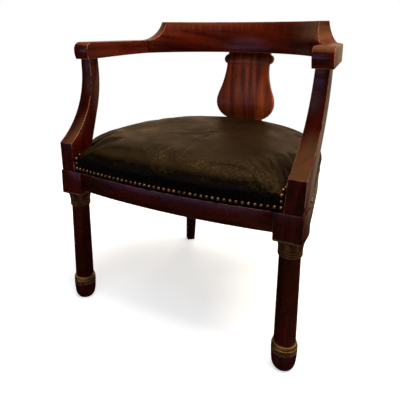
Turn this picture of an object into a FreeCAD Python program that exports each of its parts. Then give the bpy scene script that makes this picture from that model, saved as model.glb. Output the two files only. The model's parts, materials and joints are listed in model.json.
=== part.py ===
import FreeCAD, Part
import math
import os

# A horseshoe-backed desk armchair in mahogany with brass mounts and a nailed leather seat.
# Millimetres. The chair faces -Y and stands on z = 0. Depths are measured backwards
# from the front faces of the arm posts.

# Heights above the floor
crest_top = 760.0
crest_underside = 667.0
arm_top = 705.0
arm_end_underside = 660.0
seat_crown_top = 462.0
rail_top = 397.0
rail_show_top = 377.4
rail_bottom = 331.0
leg_block_bottom = 318.0
capital_bottom = 277.5
collar_top = 66.0
toe_top = 44.0

# The horseshoe rail in plan
yoke_centre_depth = 222.0
yoke_outer_radius = 325.0
arm_width = 45.0
arm_flare = 4.2
arm_end_depth = 89.0
arm_nose_radius = 20.0
crest_top_thickness = 27.0
crest_end_angle = 52.9
cove_radius = 80.0
yoke_joint_margin = 3.0

# Loose tongues between the crest rail and the arms
tongue_length = 56.0
tongue_thickness = 14.0
tongue_width = 24.0
tongue_height = 686.0

# Arm posts
post_foot_width = 41.8
post_top_width = 30.2
post_lean = 9.2
post_plinth = 74.6
post_setback = 104.0
post_sweep_radius = 215.0
post_top_depth = 35.0
post_foot_depth = 59.5
post_rear_radius = 281.0
post_rear_slope = 67.3
post_foot_tenon = 22.0
post_foot_tenon_length = 27.0
post_top_tenon = 18.0
post_top_tenon_length = 24.0

# Front legs
leg_half_spread = 287.3
leg_block_size = 62.7
leg_block_step = 2.7
post_side_step = 1.6
column_diameter = 45.6
spigot_diameter = 28.0
spigot_depth = 26.0

# Brass capital and collar, mahogany toe
abacus_thickness = 4.0
abacus_inset = 0.8
bell_top_diameter = 54.0
capital_wall = 0.9
ring_bead = 1.4
ring_pitch = 5.4
ring_count = 3
collar_fillet_diameter = 51.0
collar_bead_diameter = 55.0
collar_band_diameter = 56.8
collar_band_height = 13.5
collar_fillet_height = 3.2
toe_diameter = 57.6
toe_ankle_diameter = 51.0
toe_ankle_height = 9.0
toe_sole_diameter = 38.0

# Seat frame
seat_centre_depth = 240.0
seat_radius = 290.0
rail_leg_reveal = 0.9
front_bow = 20.0
front_rail_thickness = 30.0
side_rail_thickness = 44.0
rail_tenon_thickness = 12.0
rail_tenon_height = 34.0
rail_tenon_length = 17.0
leather_rebate = 3.0

# Rear sabre legs
rear_leg_angle = 37.9
rear_leg_top_width = 40.0
rear_leg_foot_width = 26.0
rear_leg_foot_depth = 27.0
rear_leg_kick = 23.0
rear_leg_belly = 6.5
rear_leg_flat_ease = 0.8

# Back splat
splat_inset = 41.0
splat_head_inset = 24.9
splat_thickness = 14.0
splat_bend_start = 480.0
splat_base_half = 65.0
splat_neck_half = 57.6
splat_neck_height = 459.0
splat_lobe_half = 95.5
splat_lobe_height = 508.0
splat_waist_half = 69.4
splat_waist_height = 631.0
splat_ear_half = 81.0
splat_ear_height = 645.5
splat_tenon_half = 48.0
splat_tenon_length = 18.0

# Corner blocks behind the front legs
corner_block_front_reach = 64.0
corner_block_side_reach = 72.0
corner_block_height = 34.0
screw_diameter = 4.6
screw_head_diameter = 9.5
screw_head_thickness = 3.5
screw_length = 56.0

# Upholstery
webbing_width = 55.0
webbing_thickness = 1.6
webbing_count = 4
webbing_pitch = 84.0
cross_webbing_first_depth = 95.0
cross_webbing_pitch = 94.0
webbing_rail_margin = 8.0
hessian_thickness = 1.0
hessian_margin = 9.0
leather_thickness = 2.0
leather_bulge = 3.5
leather_bulge_height = 414.0
crown_reach = 110.0
crown_fullness = 2.6
crown_steps = 3
post_pull_height = 412.0
post_pull_reach = 150.0
leather_corner = 30.0

# Brass upholstery nails
nail_diameter = 9.4
nail_crown_diameter = 5.2
nail_height = 2.6
nail_pitch = 13.3
nail_line = 387.0
nail_sides = 6
nails_up_post = 2

# Clearances
joint_clearance = 0.15
leather_clearance = 0.3
leather_edge_gap = 0.4
upholstery_clearance = 0.5

# Sizes that follow from the ones above
front_reach = front_bow + leather_bulge
rear_reach = yoke_centre_depth + yoke_outer_radius
front_plane_y = (front_reach - rear_reach) / 2
yoke_inner_radius = yoke_outer_radius - arm_width
leg_inner_x = leg_half_spread - leg_block_size / 2
leg_outer_x = leg_half_spread + leg_block_size / 2
leg_rear_depth = leg_block_size - leg_block_step
leg_axis_depth = leg_block_size / 2 - leg_block_step
post_outer_x = leg_outer_x - post_side_step
post_inner_x = post_outer_x - post_foot_width
splat_depth = seat_centre_depth + seat_radius - splat_inset
splat_head_depth = rear_reach - splat_head_inset
bow_radius = (leg_inner_x ** 2 + front_bow ** 2) / (2 * front_bow)
bow_centre_depth = bow_radius - front_bow
leather_face = leather_rebate - leather_clearance - leather_thickness
webbing_top = rail_top + 2 * webbing_thickness
hessian_top = webbing_top + hessian_thickness

# The seat's straight sides start just inside the legs' outer faces and run into the round back
side_start_x = leg_outer_x - rail_leg_reveal
side_start_run = seat_centre_depth - leg_rear_depth
side_start_turn = math.atan2(side_start_run, side_start_x)
seat_flare = math.degrees(math.acos(seat_radius / math.hypot(side_start_x, side_start_run)) - side_start_turn)


def spot(x, depth, z):
    return FreeCAD.Vector(x, front_plane_y + depth, z)


def polar(radius, angle, centre_depth, z):
    # Angle in degrees from straight back, growing towards +X
    turn = math.radians(angle)
    return spot(radius * math.sin(turn), centre_depth + radius * math.cos(turn), z)


def line(a, b):
    return Part.makeLine(a, b)


def arc(a, b, c):
    return Part.Arc(a, b, c).toShape()


def smooth(points, start_tangent, end_tangent):
    curve = Part.BSplineCurve()
    curve.interpolate(Points=points, InitialTangent=start_tangent, FinalTangent=end_tangent)
    return curve.toShape()


def face(edges):
    return Part.Face(Part.Wire(Part.sortEdges(edges)[0]))


def polygon(points):
    return Part.Face(Part.makePolygon(points + [points[0]]))


def box(x0, x1, depth0, depth1, z0, z1):
    return Part.makeBox(x1 - x0, depth1 - depth0, z1 - z0, spot(x0, depth0, z0))


def mirrored(shape):
    return shape.mirror(FreeCAD.Vector(0, 0, 0), FreeCAD.Vector(1, 0, 0))


def both_sides(shape):
    return Part.makeCompound([shape, mirrored(shape)])


def fused(first, *others):
    return first.fuse(list(others)).removeSplitter()


def turned(points, axis_x, axis_depth):
    # Turns a closed profile of (radius, z) points about a vertical axis
    profile = polygon([spot(axis_x + radius, axis_depth, z) for radius, z in points])
    return profile.revolve(spot(axis_x, axis_depth, 0), FreeCAD.Vector(0, 0, 1), 360)


# Horseshoe rail

def yoke_section(top, angle):
    # The inner face is upright as far as the arms' top and leans back above it
    def at(radius, z):
        return polar(radius, angle, yoke_centre_depth, z)

    low = min(arm_end_underside, crest_underside)
    points = [at(yoke_inner_radius, low), at(yoke_outer_radius, low), at(yoke_outer_radius, top)]
    if top > arm_top:
        points.append(at(yoke_outer_radius - crest_top_thickness, top))
    points.append(at(yoke_inner_radius, arm_top))
    return polygon(points)


def swept_yoke(top, from_angle, to_angle):
    # Positive rotation about +Z carries +X towards the back, so the sweep runs backwards
    section = yoke_section(top, to_angle)
    axis = spot(0, yoke_centre_depth, 0)
    return section.revolve(axis, FreeCAD.Vector(0, 0, 1), to_angle - from_angle)


def cove_length():
    drop = crest_top - arm_top
    return math.sqrt(2 * cove_radius * drop - drop ** 2)


def yoke_joint_angle():
    return crest_end_angle + math.degrees((cove_length() + yoke_joint_margin) / yoke_outer_radius)


def cove_cutter():
    # A hollow of one radius, level where it runs out on the arm
    reach = cove_length()
    drop = crest_top - arm_top
    above = crest_top + drop
    beyond = reach + arm_width
    half_turn = math.asin(reach / cove_radius) / 2
    corner = polar(yoke_outer_radius, crest_end_angle, yoke_centre_depth, 0)
    turn = math.radians(crest_end_angle + math.degrees(reach / yoke_outer_radius) / 2)
    along = FreeCAD.Vector(math.cos(turn), -math.sin(turn), 0)
    outward = FreeCAD.Vector(math.sin(turn), math.cos(turn), 0)

    def at(s, z):
        return corner + along * s + outward * arm_width + FreeCAD.Vector(0, 0, z)

    middle_s = reach - cove_radius * math.sin(half_turn)
    middle_z = arm_top + cove_radius * (1 - math.cos(half_turn))
    profile = face([
        arc(at(0, crest_top), at(middle_s, middle_z), at(reach, arm_top)),
        line(at(reach, arm_top), at(beyond, arm_top)),
        line(at(beyond, arm_top), at(beyond, above)),
        line(at(beyond, above), at(0, above)),
        line(at(0, above), at(0, crest_top)),
    ])
    return profile.extrude(outward * (-3 * arm_width))


def yoke_tongue(extra):
    # Lies along the rail, half in the crest and half in the arm
    middle = (yoke_inner_radius + yoke_outer_radius) / 2
    long = tongue_length + 2 * extra
    thick = tongue_thickness + 2 * extra
    wide = tongue_width + 2 * extra
    corner = FreeCAD.Vector(-long / 2, middle - thick / 2, tongue_height - wide / 2)
    tongue = Part.makeBox(long, thick, wide, corner)
    tongue.rotate(FreeCAD.Vector(0, 0, 0), FreeCAD.Vector(0, 0, 1), -yoke_joint_angle())
    tongue.translate(spot(0, yoke_centre_depth, 0))
    return tongue


def make_crest_rail():
    angle = yoke_joint_angle()
    crest = swept_yoke(crest_top, -angle, angle)
    below = box(-2 * yoke_outer_radius, 2 * yoke_outer_radius, 0, 2 * rear_reach, 0, crest_underside)
    cutter = cove_cutter()
    crest = crest.cut([below, cutter, mirrored(cutter)])
    tongue = yoke_tongue(joint_clearance)
    return crest.cut([tongue, mirrored(tongue), splat_form(joint_clearance)])


def arm_blank():
    # The bent part of the arm, then its straight part running forward off the same circle
    joint = yoke_joint_angle()
    tangent = 90.0 - arm_flare
    turn = math.radians(arm_flare)
    bent = swept_yoke(arm_top, joint, tangent)
    forward = FreeCAD.Vector(math.sin(turn), -math.cos(turn), 0)
    straight = yoke_section(arm_top, tangent).extrude(forward * yoke_outer_radius)
    end_cut = box(0, 2 * yoke_outer_radius, -rear_reach, arm_end_depth, 0, 2 * crest_top)
    arm = fused(bent, straight).cut(end_cut)
    joint_depth = polar(yoke_inner_radius, joint, yoke_centre_depth, 0).y - front_plane_y
    under = polygon([
        spot(0, 0, 0),
        spot(0, arm_end_depth, arm_end_underside),
        spot(0, joint_depth, crest_underside),
        spot(0, rear_reach, crest_underside),
        spot(0, rear_reach, 0),
    ])
    arm = arm.cut(under.extrude(FreeCAD.Vector(2 * yoke_outer_radius, 0, 0)))
    nose_y = front_plane_y + arm_end_depth
    nose = [
        edge for edge in arm.Edges
        if all(abs(v.Y - nose_y) < 0.01 and abs(v.Z - arm_top) < 0.01 for v in edge.Vertexes)
    ]
    return arm.makeFillet(arm_nose_radius, nose)


def make_arm():
    return arm_blank().cut([yoke_tongue(joint_clearance), post_top_tenon_form(joint_clearance)])


# Arm posts

def post_upright_height():
    # Where the front sweep turns upright
    run = post_sweep_radius - post_setback
    return rail_show_top + post_plinth + math.sqrt(post_sweep_radius ** 2 - run ** 2)


def post_rear_tangent():
    # Where the straight lower part of the rear edge runs into its upper arc: (depth, z)
    turn = math.radians(90 - post_rear_slope)
    depth = post_setback + post_top_depth - post_rear_radius * (1 - math.cos(turn))
    return depth, post_upright_height() - post_rear_radius * math.sin(turn)


def post_rear_depth(z):
    # Depth of the rear edge at a height on its upright foot or its straight slope
    depth, top = post_rear_tangent()
    return max(post_foot_depth, depth - (top - z) / math.tan(math.radians(post_rear_slope)))


def post_top_centre():
    half_top = (post_outer_x + post_lean) - post_top_width / 2
    return half_top, post_setback + post_top_depth / 2


def post_top_tenon_form(extra):
    x, depth = post_top_centre()
    half = post_top_tenon / 2 + extra
    top = arm_end_underside + post_top_tenon_length + extra
    return box(x - half, x + half, depth - half, depth + half, arm_end_underside - post_top_tenon, top)


def post_foot_tenon_form(extra):
    x = post_outer_x - post_foot_width / 2
    depth = post_foot_depth / 2 - post_foot_tenon / 8
    half = post_foot_tenon / 2 + extra
    low = rail_show_top - post_foot_tenon_length - extra
    return box(x - half, x + half, depth - half, depth + half, low, rail_show_top + post_foot_tenon)


def make_post():
    plinth_top = rail_show_top + post_plinth
    upright = post_upright_height()
    head = arm_end_underside + post_top_tenon / 2
    rear_top = post_setback + post_top_depth

    def at(depth, z):
        return spot(0, depth, z)

    def sweep(radius, edge_depth, slope):
        # A point on an arc that is upright at the given depth, where its tangent has this slope
        turn = math.radians(90 - slope)
        return at(edge_depth - radius + radius * math.cos(turn), upright - radius * math.sin(turn))

    start_slope = math.degrees(math.asin(1 - post_setback / post_sweep_radius))
    rear_start = at(*post_rear_tangent())
    fall = (post_rear_tangent()[0] - post_foot_depth) * math.tan(math.radians(post_rear_slope))
    rear_foot = at(post_foot_depth, rear_start.z - fall)
    profile = face([
        line(at(0, rail_show_top), at(0, plinth_top)),
        arc(at(0, plinth_top), sweep(post_sweep_radius, post_setback, (90 + start_slope) / 2),
            at(post_setback, upright)),
        line(at(post_setback, upright), at(post_setback, head)),
        line(at(post_setback, head), at(rear_top, head)),
        line(at(rear_top, head), at(rear_top, upright)),
        arc(at(rear_top, upright), sweep(post_rear_radius, rear_top, (90 + post_rear_slope) / 2), rear_start),
        line(rear_start, rear_foot),
        line(rear_foot, at(post_foot_depth, rail_show_top)),
        line(at(post_foot_depth, rail_show_top), at(0, rail_show_top)),
    ])
    side_view = profile.extrude(FreeCAD.Vector(2 * yoke_outer_radius, 0, 0))
    rise = (head - rail_show_top) / (arm_end_underside - rail_show_top)
    outer_head = post_outer_x + post_lean * rise
    inner_lean = post_lean + post_foot_width - post_top_width
    inner_head = post_inner_x + inner_lean * rise
    front_view = polygon([
        spot(post_inner_x, 0, rail_show_top),
        spot(post_outer_x, 0, rail_show_top),
        spot(outer_head, 0, head),
        spot(inner_head, 0, head),
    ]).extrude(FreeCAD.Vector(0, rear_reach, 0))
    post = side_view.common(front_view).cut(arm_blank())
    return fused(post, post_top_tenon_form(0), post_foot_tenon_form(0))


# Front legs with their brass mounts

def make_front_leg():
    block = box(leg_inner_x, leg_outer_x, -leg_block_step, leg_rear_depth, leg_block_bottom, rail_show_top)
    column = column_diameter / 2
    spigot = spigot_diameter / 2
    shaft = turned([
        (0, toe_top - spigot_depth),
        (spigot, toe_top - spigot_depth),
        (spigot, toe_top),
        (column, toe_top),
        (column, leg_block_bottom + 1),
        (0, leg_block_bottom + 1),
    ], leg_half_spread, leg_axis_depth)
    cuts = [
        post_foot_tenon_form(joint_clearance),
        front_rail_tenon(joint_clearance),
        side_rail_front_tenon(joint_clearance),
        corner_screw(joint_clearance),
    ]
    return fused(block, shaft).cut(cuts)


def make_capital():
    bore = column_diameter / 2 + joint_clearance
    bell_top = leg_block_bottom - abacus_thickness
    waist = bore + capital_wall
    flare = bell_top_diameter / 2
    rings_top = capital_bottom + ring_count * ring_pitch
    profile = [(bore, bell_top), (bore, capital_bottom)]
    for ring in range(ring_count):
        low = capital_bottom + ring * ring_pitch
        profile += [(waist, low), (waist + ring_bead, low + ring_pitch / 2)]
    profile += [
        (waist, rings_top),
        (waist + (flare - waist) * 0.25, (rings_top + bell_top) / 2),
        (flare, bell_top),
    ]
    bell = turned(profile, leg_half_spread, leg_axis_depth)
    half = leg_block_size / 2 - abacus_inset
    abacus = box(leg_half_spread - half, leg_half_spread + half, leg_axis_depth - half, leg_axis_depth + half,
                 bell_top, leg_block_bottom)
    drill = Part.makeCylinder(bore, crest_top, spot(leg_half_spread, leg_axis_depth, 0))
    return fused(bell, abacus.cut(drill))


def make_collar():
    bore = column_diameter / 2 + joint_clearance
    band_top = toe_top + collar_band_height
    fillet_low = collar_top - collar_fillet_height
    return turned([
        (bore, toe_top),
        (collar_band_diameter / 2, toe_top),
        (collar_band_diameter / 2, band_top),
        (collar_bead_diameter / 2, (band_top + fillet_low) / 2),
        (collar_fillet_diameter / 2, fillet_low),
        (collar_fillet_diameter / 2, collar_top),
        (bore, collar_top),
    ], leg_half_spread, leg_axis_depth)


def make_toe():
    socket = spigot_diameter / 2 + joint_clearance
    socket_floor = toe_top - spigot_depth - joint_clearance
    return turned([
        (0, 0),
        (toe_sole_diameter / 2, 0),
        (toe_ankle_diameter / 2, toe_ankle_height),
        (toe_diameter / 2, toe_top),
        (socket, toe_top),
        (socket, socket_floor),
        (0, socket_floor),
    ], leg_half_spread, leg_axis_depth)


# Seat frame

def bow_depth(x, inset):
    return bow_centre_depth - math.sqrt((bow_radius - inset) ** 2 - x ** 2)


def side_x(depth, inset):
    # Half width of the seat at a depth: straight flared sides that run into the round back
    radius = seat_radius - inset
    turn = math.radians(seat_flare)
    if depth < seat_centre_depth + radius * math.sin(turn):
        return radius / math.cos(turn) + math.tan(turn) * (seat_centre_depth - depth)
    return math.sqrt(radius ** 2 - (depth - seat_centre_depth) ** 2)


def rail_middle():
    return (rail_bottom + rail_show_top) / 2


def front_rail_tenon(extra):
    half_z = rail_tenon_height / 2 + extra
    middle = front_rail_thickness / 2
    half = rail_tenon_thickness / 2 + extra
    reach = leg_inner_x + rail_tenon_length + extra
    return box(leg_inner_x - rail_tenon_thickness, reach, middle - half, middle + half,
               rail_middle() - half_z, rail_middle() + half_z)


def side_rail_front_tenon(extra):
    half_z = rail_tenon_height / 2 + extra
    middle = side_x(leg_rear_depth, side_rail_thickness / 2)
    half = rail_tenon_thickness / 2 + extra
    return box(middle - half, middle + half, leg_rear_depth - rail_tenon_length - extra,
               leg_rear_depth + rail_tenon_thickness, rail_middle() - half_z, rail_middle() + half_z)


def bow_strip(half_width, outer_inset, inner_inset, z0, z1):
    def at(x, inset):
        return spot(x, bow_depth(x, inset), z0)

    strip = face([
        arc(at(-half_width, outer_inset), at(0, outer_inset), at(half_width, outer_inset)),
        line(at(half_width, outer_inset), at(half_width, inner_inset)),
        arc(at(half_width, inner_inset), at(0, inner_inset), at(-half_width, inner_inset)),
        line(at(-half_width, inner_inset), at(-half_width, outer_inset)),
    ])
    return strip.extrude(FreeCAD.Vector(0, 0, z1 - z0))


def front_rail_blank():
    show = bow_strip(leg_inner_x, 0, front_rail_thickness, rail_bottom, rail_show_top)
    horn = post_inner_x - upholstery_clearance - leather_thickness - leather_clearance
    upper = bow_strip(horn, leather_rebate, front_rail_thickness, rail_show_top, rail_top)
    return fused(show, upper)


def make_front_rail():
    tenon = front_rail_tenon(0)
    return fused(front_rail_blank(), tenon, mirrored(tenon))


def horseshoe_strip(start_depth, outer_inset, inner_inset, z0, z1):
    turn = math.radians(seat_flare)

    def run(inset, sign):
        radius = seat_radius - inset
        front = spot(sign * side_x(start_depth, inset), start_depth, z0)
        bend = spot(sign * radius * math.cos(turn), seat_centre_depth + radius * math.sin(turn), z0)
        half_way = polar(radius, sign * (90 - seat_flare) / 2, seat_centre_depth, z0)
        back = polar(radius, 0, seat_centre_depth, z0)
        return front, [line(front, bend), arc(bend, half_way, back)]

    edges = []
    for sign in (1, -1):
        outer_front, outer_edges = run(outer_inset, sign)
        inner_front, inner_edges = run(inner_inset, sign)
        edges += outer_edges + inner_edges + [line(outer_front, inner_front)]
    return face(edges).extrude(FreeCAD.Vector(0, 0, z1 - z0))


def horseshoe_frame():
    show = horseshoe_strip(leg_rear_depth, 0, side_rail_thickness, rail_bottom, rail_show_top)
    clear = max(leg_rear_depth, post_rear_depth(rail_top)) + upholstery_clearance
    clear += leather_thickness + leather_clearance
    upper = horseshoe_strip(clear, leather_rebate, side_rail_thickness, rail_show_top, rail_top)
    return fused(show, upper)


def beside_rear_leg(shape):
    # Carries a shape made with the leg's outward direction on +Y to the leg's own place
    moved = shape.copy()
    moved.rotate(FreeCAD.Vector(0, 0, 0), FreeCAD.Vector(0, 0, 1), -rear_leg_angle)
    moved.translate(spot(0, seat_centre_depth, 0))
    return moved


def rear_leg_envelope():
    half = rear_leg_top_width / 2
    inner = seat_radius - 2 * side_rail_thickness
    corner = FreeCAD.Vector(-half, inner, 0)
    return beside_rear_leg(Part.makeBox(rear_leg_top_width, 4 * side_rail_thickness, crest_top, corner))


def rear_leg_tenon(side, extra):
    # side +1 is towards the chair's flank, -1 towards the middle of the back
    half = rear_leg_top_width / 2
    reach = half - rail_tenon_length - extra
    if reach < 1:
        reach = 1
    outside = half + rail_tenon_thickness / 2
    middle = seat_radius - side_rail_thickness / 2
    thick = rail_tenon_thickness + 2 * extra
    tall = rail_tenon_height + 2 * extra
    x0 = reach if side > 0 else -outside
    corner = FreeCAD.Vector(x0, middle - thick / 2, rail_middle() - tall / 2)
    return beside_rear_leg(Part.makeBox(outside - reach, thick, tall, corner))


def make_rear_leg():
    outer = seat_radius
    inner = seat_radius - side_rail_thickness
    rebated = outer - leather_rebate - rear_leg_flat_ease
    foot_outer = outer + rear_leg_kick
    foot_inner = foot_outer - rear_leg_foot_depth

    def at(radius, z):
        return FreeCAD.Vector(0, radius, z)

    def hollow(top_radius, foot_radius):
        middle = at((top_radius + foot_radius) / 2 - rear_leg_belly, rail_bottom / 2)
        return arc(at(top_radius, rail_bottom), middle, at(foot_radius, 0))

    profile = face([
        hollow(outer, foot_outer),
        line(at(foot_outer, 0), at(foot_inner, 0)),
        hollow(inner, foot_inner),
        line(at(inner, rail_bottom), at(inner, rail_top)),
        line(at(inner, rail_top), at(rebated, rail_top)),
        line(at(rebated, rail_top), at(rebated, rail_show_top)),
        line(at(rebated, rail_show_top), at(outer, rail_show_top)),
        line(at(outer, rail_show_top), at(outer, rail_bottom)),
    ])
    half = rear_leg_top_width / 2
    foot = rear_leg_foot_width / 2
    profile.translate(FreeCAD.Vector(-half, 0, 0))
    side_view = profile.extrude(FreeCAD.Vector(rear_leg_top_width, 0, 0))
    front_view = polygon([
        FreeCAD.Vector(-foot, 0, 0),
        FreeCAD.Vector(foot, 0, 0),
        FreeCAD.Vector(half, 0, rail_bottom),
        FreeCAD.Vector(half, 0, rail_top),
        FreeCAD.Vector(-half, 0, rail_top),
        FreeCAD.Vector(-half, 0, rail_bottom),
    ]).extrude(FreeCAD.Vector(0, 2 * foot_outer, 0))
    leg = beside_rear_leg(side_view.common(front_view))
    return leg.cut([rear_leg_tenon(side, joint_clearance) for side in (-1, 1)])


def make_curved_rails():
    # The horseshoe frame is parted by the two rear legs into two side rails and a rear rail
    envelope = rear_leg_envelope()
    parts = horseshoe_frame().cut([envelope, mirrored(envelope)]).Solids
    right = max(parts, key=lambda solid: solid.CenterOfMass.x)
    rear = max(parts, key=lambda solid: solid.CenterOfMass.y)
    right = fused(right, side_rail_front_tenon(0), rear_leg_tenon(1, 0))
    tenon = rear_leg_tenon(-1, 0)
    rear = fused(rear, tenon, mirrored(tenon)).cut(splat_form(joint_clearance))
    return right, rear


def corner_block_prism():
    block_low = rail_middle() - corner_block_height / 2
    front_x = leg_inner_x - corner_block_front_reach
    rear_depth = leg_rear_depth + corner_block_side_reach
    within_rail = side_x(rear_depth, side_rail_thickness / 2)
    shape = polygon([
        spot(front_x, 0, block_low),
        spot(within_rail, 0, block_low),
        spot(within_rail, rear_depth, block_low),
        spot(side_x(rear_depth, side_rail_thickness), rear_depth, block_low),
        spot(front_x, bow_depth(front_x, front_rail_thickness), block_low),
    ])
    return shape.extrude(FreeCAD.Vector(0, 0, corner_block_height))


def corner_screw_axis():
    # The screw aims through the leg's inner corner at forty-five degrees
    aim = FreeCAD.Vector(1, -1, 0).normalize()
    corner = spot(leg_inner_x, leg_rear_depth, rail_middle())
    return corner, aim


def corner_screw_seat():
    return -(corner_block_front_reach + corner_block_side_reach) / 4


def corner_screw(extra):
    corner, aim = corner_screw_axis()
    start = corner + aim * corner_screw_seat()
    shank = Part.makeCylinder(screw_diameter / 2 + extra, screw_length + extra, start, aim)
    head = Part.makeCylinder(screw_head_diameter / 2 + extra, screw_head_thickness, start, aim * -1)
    return fused(shank, head)


def make_corner_block():
    corner, aim = corner_screw_axis()
    start = corner + aim * corner_screw_seat()
    recess_radius = screw_head_diameter / 2 + upholstery_clearance
    recess = Part.makeCylinder(recess_radius, leg_block_size, start, aim * -1)
    cuts = [front_rail_blank(), horseshoe_frame(),
            box(leg_inner_x, leg_outer_x, -leg_block_step, leg_rear_depth, 0, rail_show_top),
            corner_screw(joint_clearance), recess]
    return corner_block_prism().cut(cuts)


# Back splat

def splat_bend(z):
    # How far back the splat has bent at a height, level with the rail at the seat and the crest at the top
    rise = max(z - splat_bend_start, 0) / (crest_underside - splat_bend_start)
    return (splat_head_depth - splat_depth) * rise ** 2


def splat_band(low, high, extra):
    # Side view: upright at the seat, then bending back in one sweep to the crest
    def at(offset, z):
        return spot(-yoke_outer_radius, splat_depth + splat_bend(z) + offset, z)

    middle = (splat_bend_start + high) / 2
    edges = []
    for offset in (-extra, splat_thickness + extra):
        edges.append(line(at(offset, low), at(offset, splat_bend_start)))
        edges.append(arc(at(offset, splat_bend_start), at(offset, middle), at(offset, high)))
    edges.append(line(at(-extra, low), at(splat_thickness + extra, low)))
    edges.append(line(at(-extra, high), at(splat_thickness + extra, high)))
    return face(edges).extrude(FreeCAD.Vector(2 * yoke_outer_radius, 0, 0))


def splat_outline(extra):
    tenon = splat_tenon_half + extra
    low = rail_top - splat_tenon_length - extra
    high = crest_underside + splat_tenon_length + extra
    lobe_run = splat_waist_height - splat_lobe_height
    lobe_out = splat_lobe_half - splat_waist_half
    base_top = splat_neck_height - (splat_base_half - splat_neck_half) * 2.4
    ear_radius = splat_ear_height - splat_waist_height
    ear_top = splat_ear_height + ear_radius
    edges = []
    for sign in (1, -1):
        def at(x, z):
            return spot(sign * x, 0, z)

        cavetto = at(splat_neck_half + (splat_base_half - splat_neck_half) * 0.25,
                     (base_top + splat_neck_height) / 2)
        belly = at(splat_neck_half + (splat_lobe_half - splat_neck_half) * 0.74,
                   splat_neck_height + (splat_lobe_height - splat_neck_height) * 0.42)
        edges += [
            line(at(0, low), at(tenon, low)),
            line(at(tenon, low), at(tenon, rail_top)),
            line(at(tenon, rail_top), at(splat_base_half, rail_top)),
            line(at(splat_base_half, rail_top), at(splat_base_half, base_top)),
            arc(at(splat_base_half, base_top), cavetto, at(splat_neck_half, splat_neck_height)),
            arc(at(splat_neck_half, splat_neck_height), belly, at(splat_lobe_half, splat_lobe_height)),
            smooth([at(splat_lobe_half, splat_lobe_height),
                    at(splat_waist_half + lobe_out * 0.52, splat_lobe_height + lobe_run * 0.38),
                    at(splat_waist_half + lobe_out * 0.10, splat_lobe_height + lobe_run * 0.72),
                    at(splat_waist_half, splat_waist_height)],
                   FreeCAD.Vector(0, 0, 1), FreeCAD.Vector(0, 0, 1)),
            arc(at(splat_waist_half, splat_waist_height), at(splat_ear_half, splat_ear_height),
                at(splat_waist_half, ear_top)),
            line(at(splat_waist_half, ear_top), at(splat_waist_half, crest_underside)),
            line(at(splat_waist_half, crest_underside), at(tenon, crest_underside)),
            line(at(tenon, crest_underside), at(tenon, high)),
            line(at(tenon, high), at(0, high)),
        ]
    return face(edges).extrude(FreeCAD.Vector(0, 2 * rear_reach, 0))


def splat_form(extra):
    low = rail_top - splat_tenon_length - extra
    high = crest_underside + splat_tenon_length + extra
    return splat_outline(extra).common(splat_band(low, high, extra))


# Upholstery

def seat_wire(inset, z):
    radius = seat_radius - inset
    turn = math.radians(seat_flare)
    bend_x = radius * math.cos(turn)
    bend_depth = seat_centre_depth + radius * math.sin(turn)
    # The flared side meets the bowed front where the side line cuts the bow's circle
    to_bend = FreeCAD.Vector(bend_x, bend_depth - bow_centre_depth, 0)
    forward = FreeCAD.Vector(math.sin(turn), -math.cos(turn), 0)
    b = to_bend.dot(forward)
    c = to_bend.dot(to_bend) - (bow_radius - inset) ** 2
    reach = -b + math.sqrt(b ** 2 - c)
    corner_x = bend_x + reach * math.sin(turn)
    corner_depth = bend_depth - reach * math.cos(turn)
    front_x = corner_x - leather_corner
    front_depth = bow_depth(front_x, inset)
    back = polar(radius, 0, seat_centre_depth, z)
    halves = []
    for sign in (1, -1):
        front = spot(sign * front_x, front_depth, z)
        corner = spot(sign * corner_x, corner_depth, z)
        flank = spot(sign * (corner_x - leather_corner * math.sin(turn)),
                     corner_depth + leather_corner * math.cos(turn), z)
        bend = spot(sign * bend_x, bend_depth, z)
        half_way = polar(radius, sign * (90 - seat_flare) / 2, seat_centre_depth, z)
        turn_in = Part.BezierCurve()
        turn_in.setPoles([front, corner, flank])
        halves.append([turn_in.toShape(), line(flank, bend), arc(bend, half_way, back)])
    front = arc(spot(-front_x, front_depth, z), spot(0, bow_depth(0, inset), z),
                spot(front_x, front_depth, z))
    return Part.Wire([front] + halves[0] + halves[1][::-1])


def crown_point(step, steps, reach, rise):
    # A quarter of a full, flat-topped oval: (how far in, how far up)
    turn = math.radians(90.0 * step / steps)
    power = 2 / crown_fullness
    return reach * (1 - math.cos(turn) ** power), rise * math.sin(turn) ** power


def cushion_form(low, skin):
    # The stuffed seat shrunk inwards by a skin: upright at the rails, swelling, then crowned
    wires = [seat_wire(leather_face + skin, low)]
    wires.append(seat_wire(leather_face + skin, rail_top))
    wires.append(seat_wire(skin - leather_bulge, leather_bulge_height))
    rise = seat_crown_top - leather_bulge_height - skin
    for step in range(1, crown_steps + 1):
        inset, up = crown_point(step, crown_steps, crown_reach, rise)
        wires.append(seat_wire(skin - leather_bulge + inset, leather_bulge_height + up))
    form = Part.makeLoft(wires, True, True)
    return form.cut([post_notch(1, skin), post_notch(-1, skin), splat_slot(skin)])


def post_notch(side, skin):
    # Room for a post: close beside it, then sloping away as the leather is pulled down to it
    def level(grow, z):
        x = post_inner_x - upholstery_clearance - skin - grow
        depth = max(leg_rear_depth, post_rear_depth(z)) + upholstery_clearance + skin + grow
        far = 2 * leg_outer_x
        ring = [spot(side * x, -front_reach - far, z), spot(side * far, -front_reach - far, z),
                spot(side * far, depth, z), spot(side * x, depth, z)]
        return Part.makePolygon(ring + [ring[0]])

    start = post_pull_height - skin
    lower = Part.Face(level(0, 0)).extrude(FreeCAD.Vector(0, 0, rail_top))
    beside = Part.makeLoft([level(0, rail_top), level(0, start)], True, True)
    top = level(post_pull_reach, seat_crown_top + leather_bulge)
    slope = Part.makeLoft([level(0, start), top], True, True)
    return lower.fuse([beside, slope])


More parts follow.
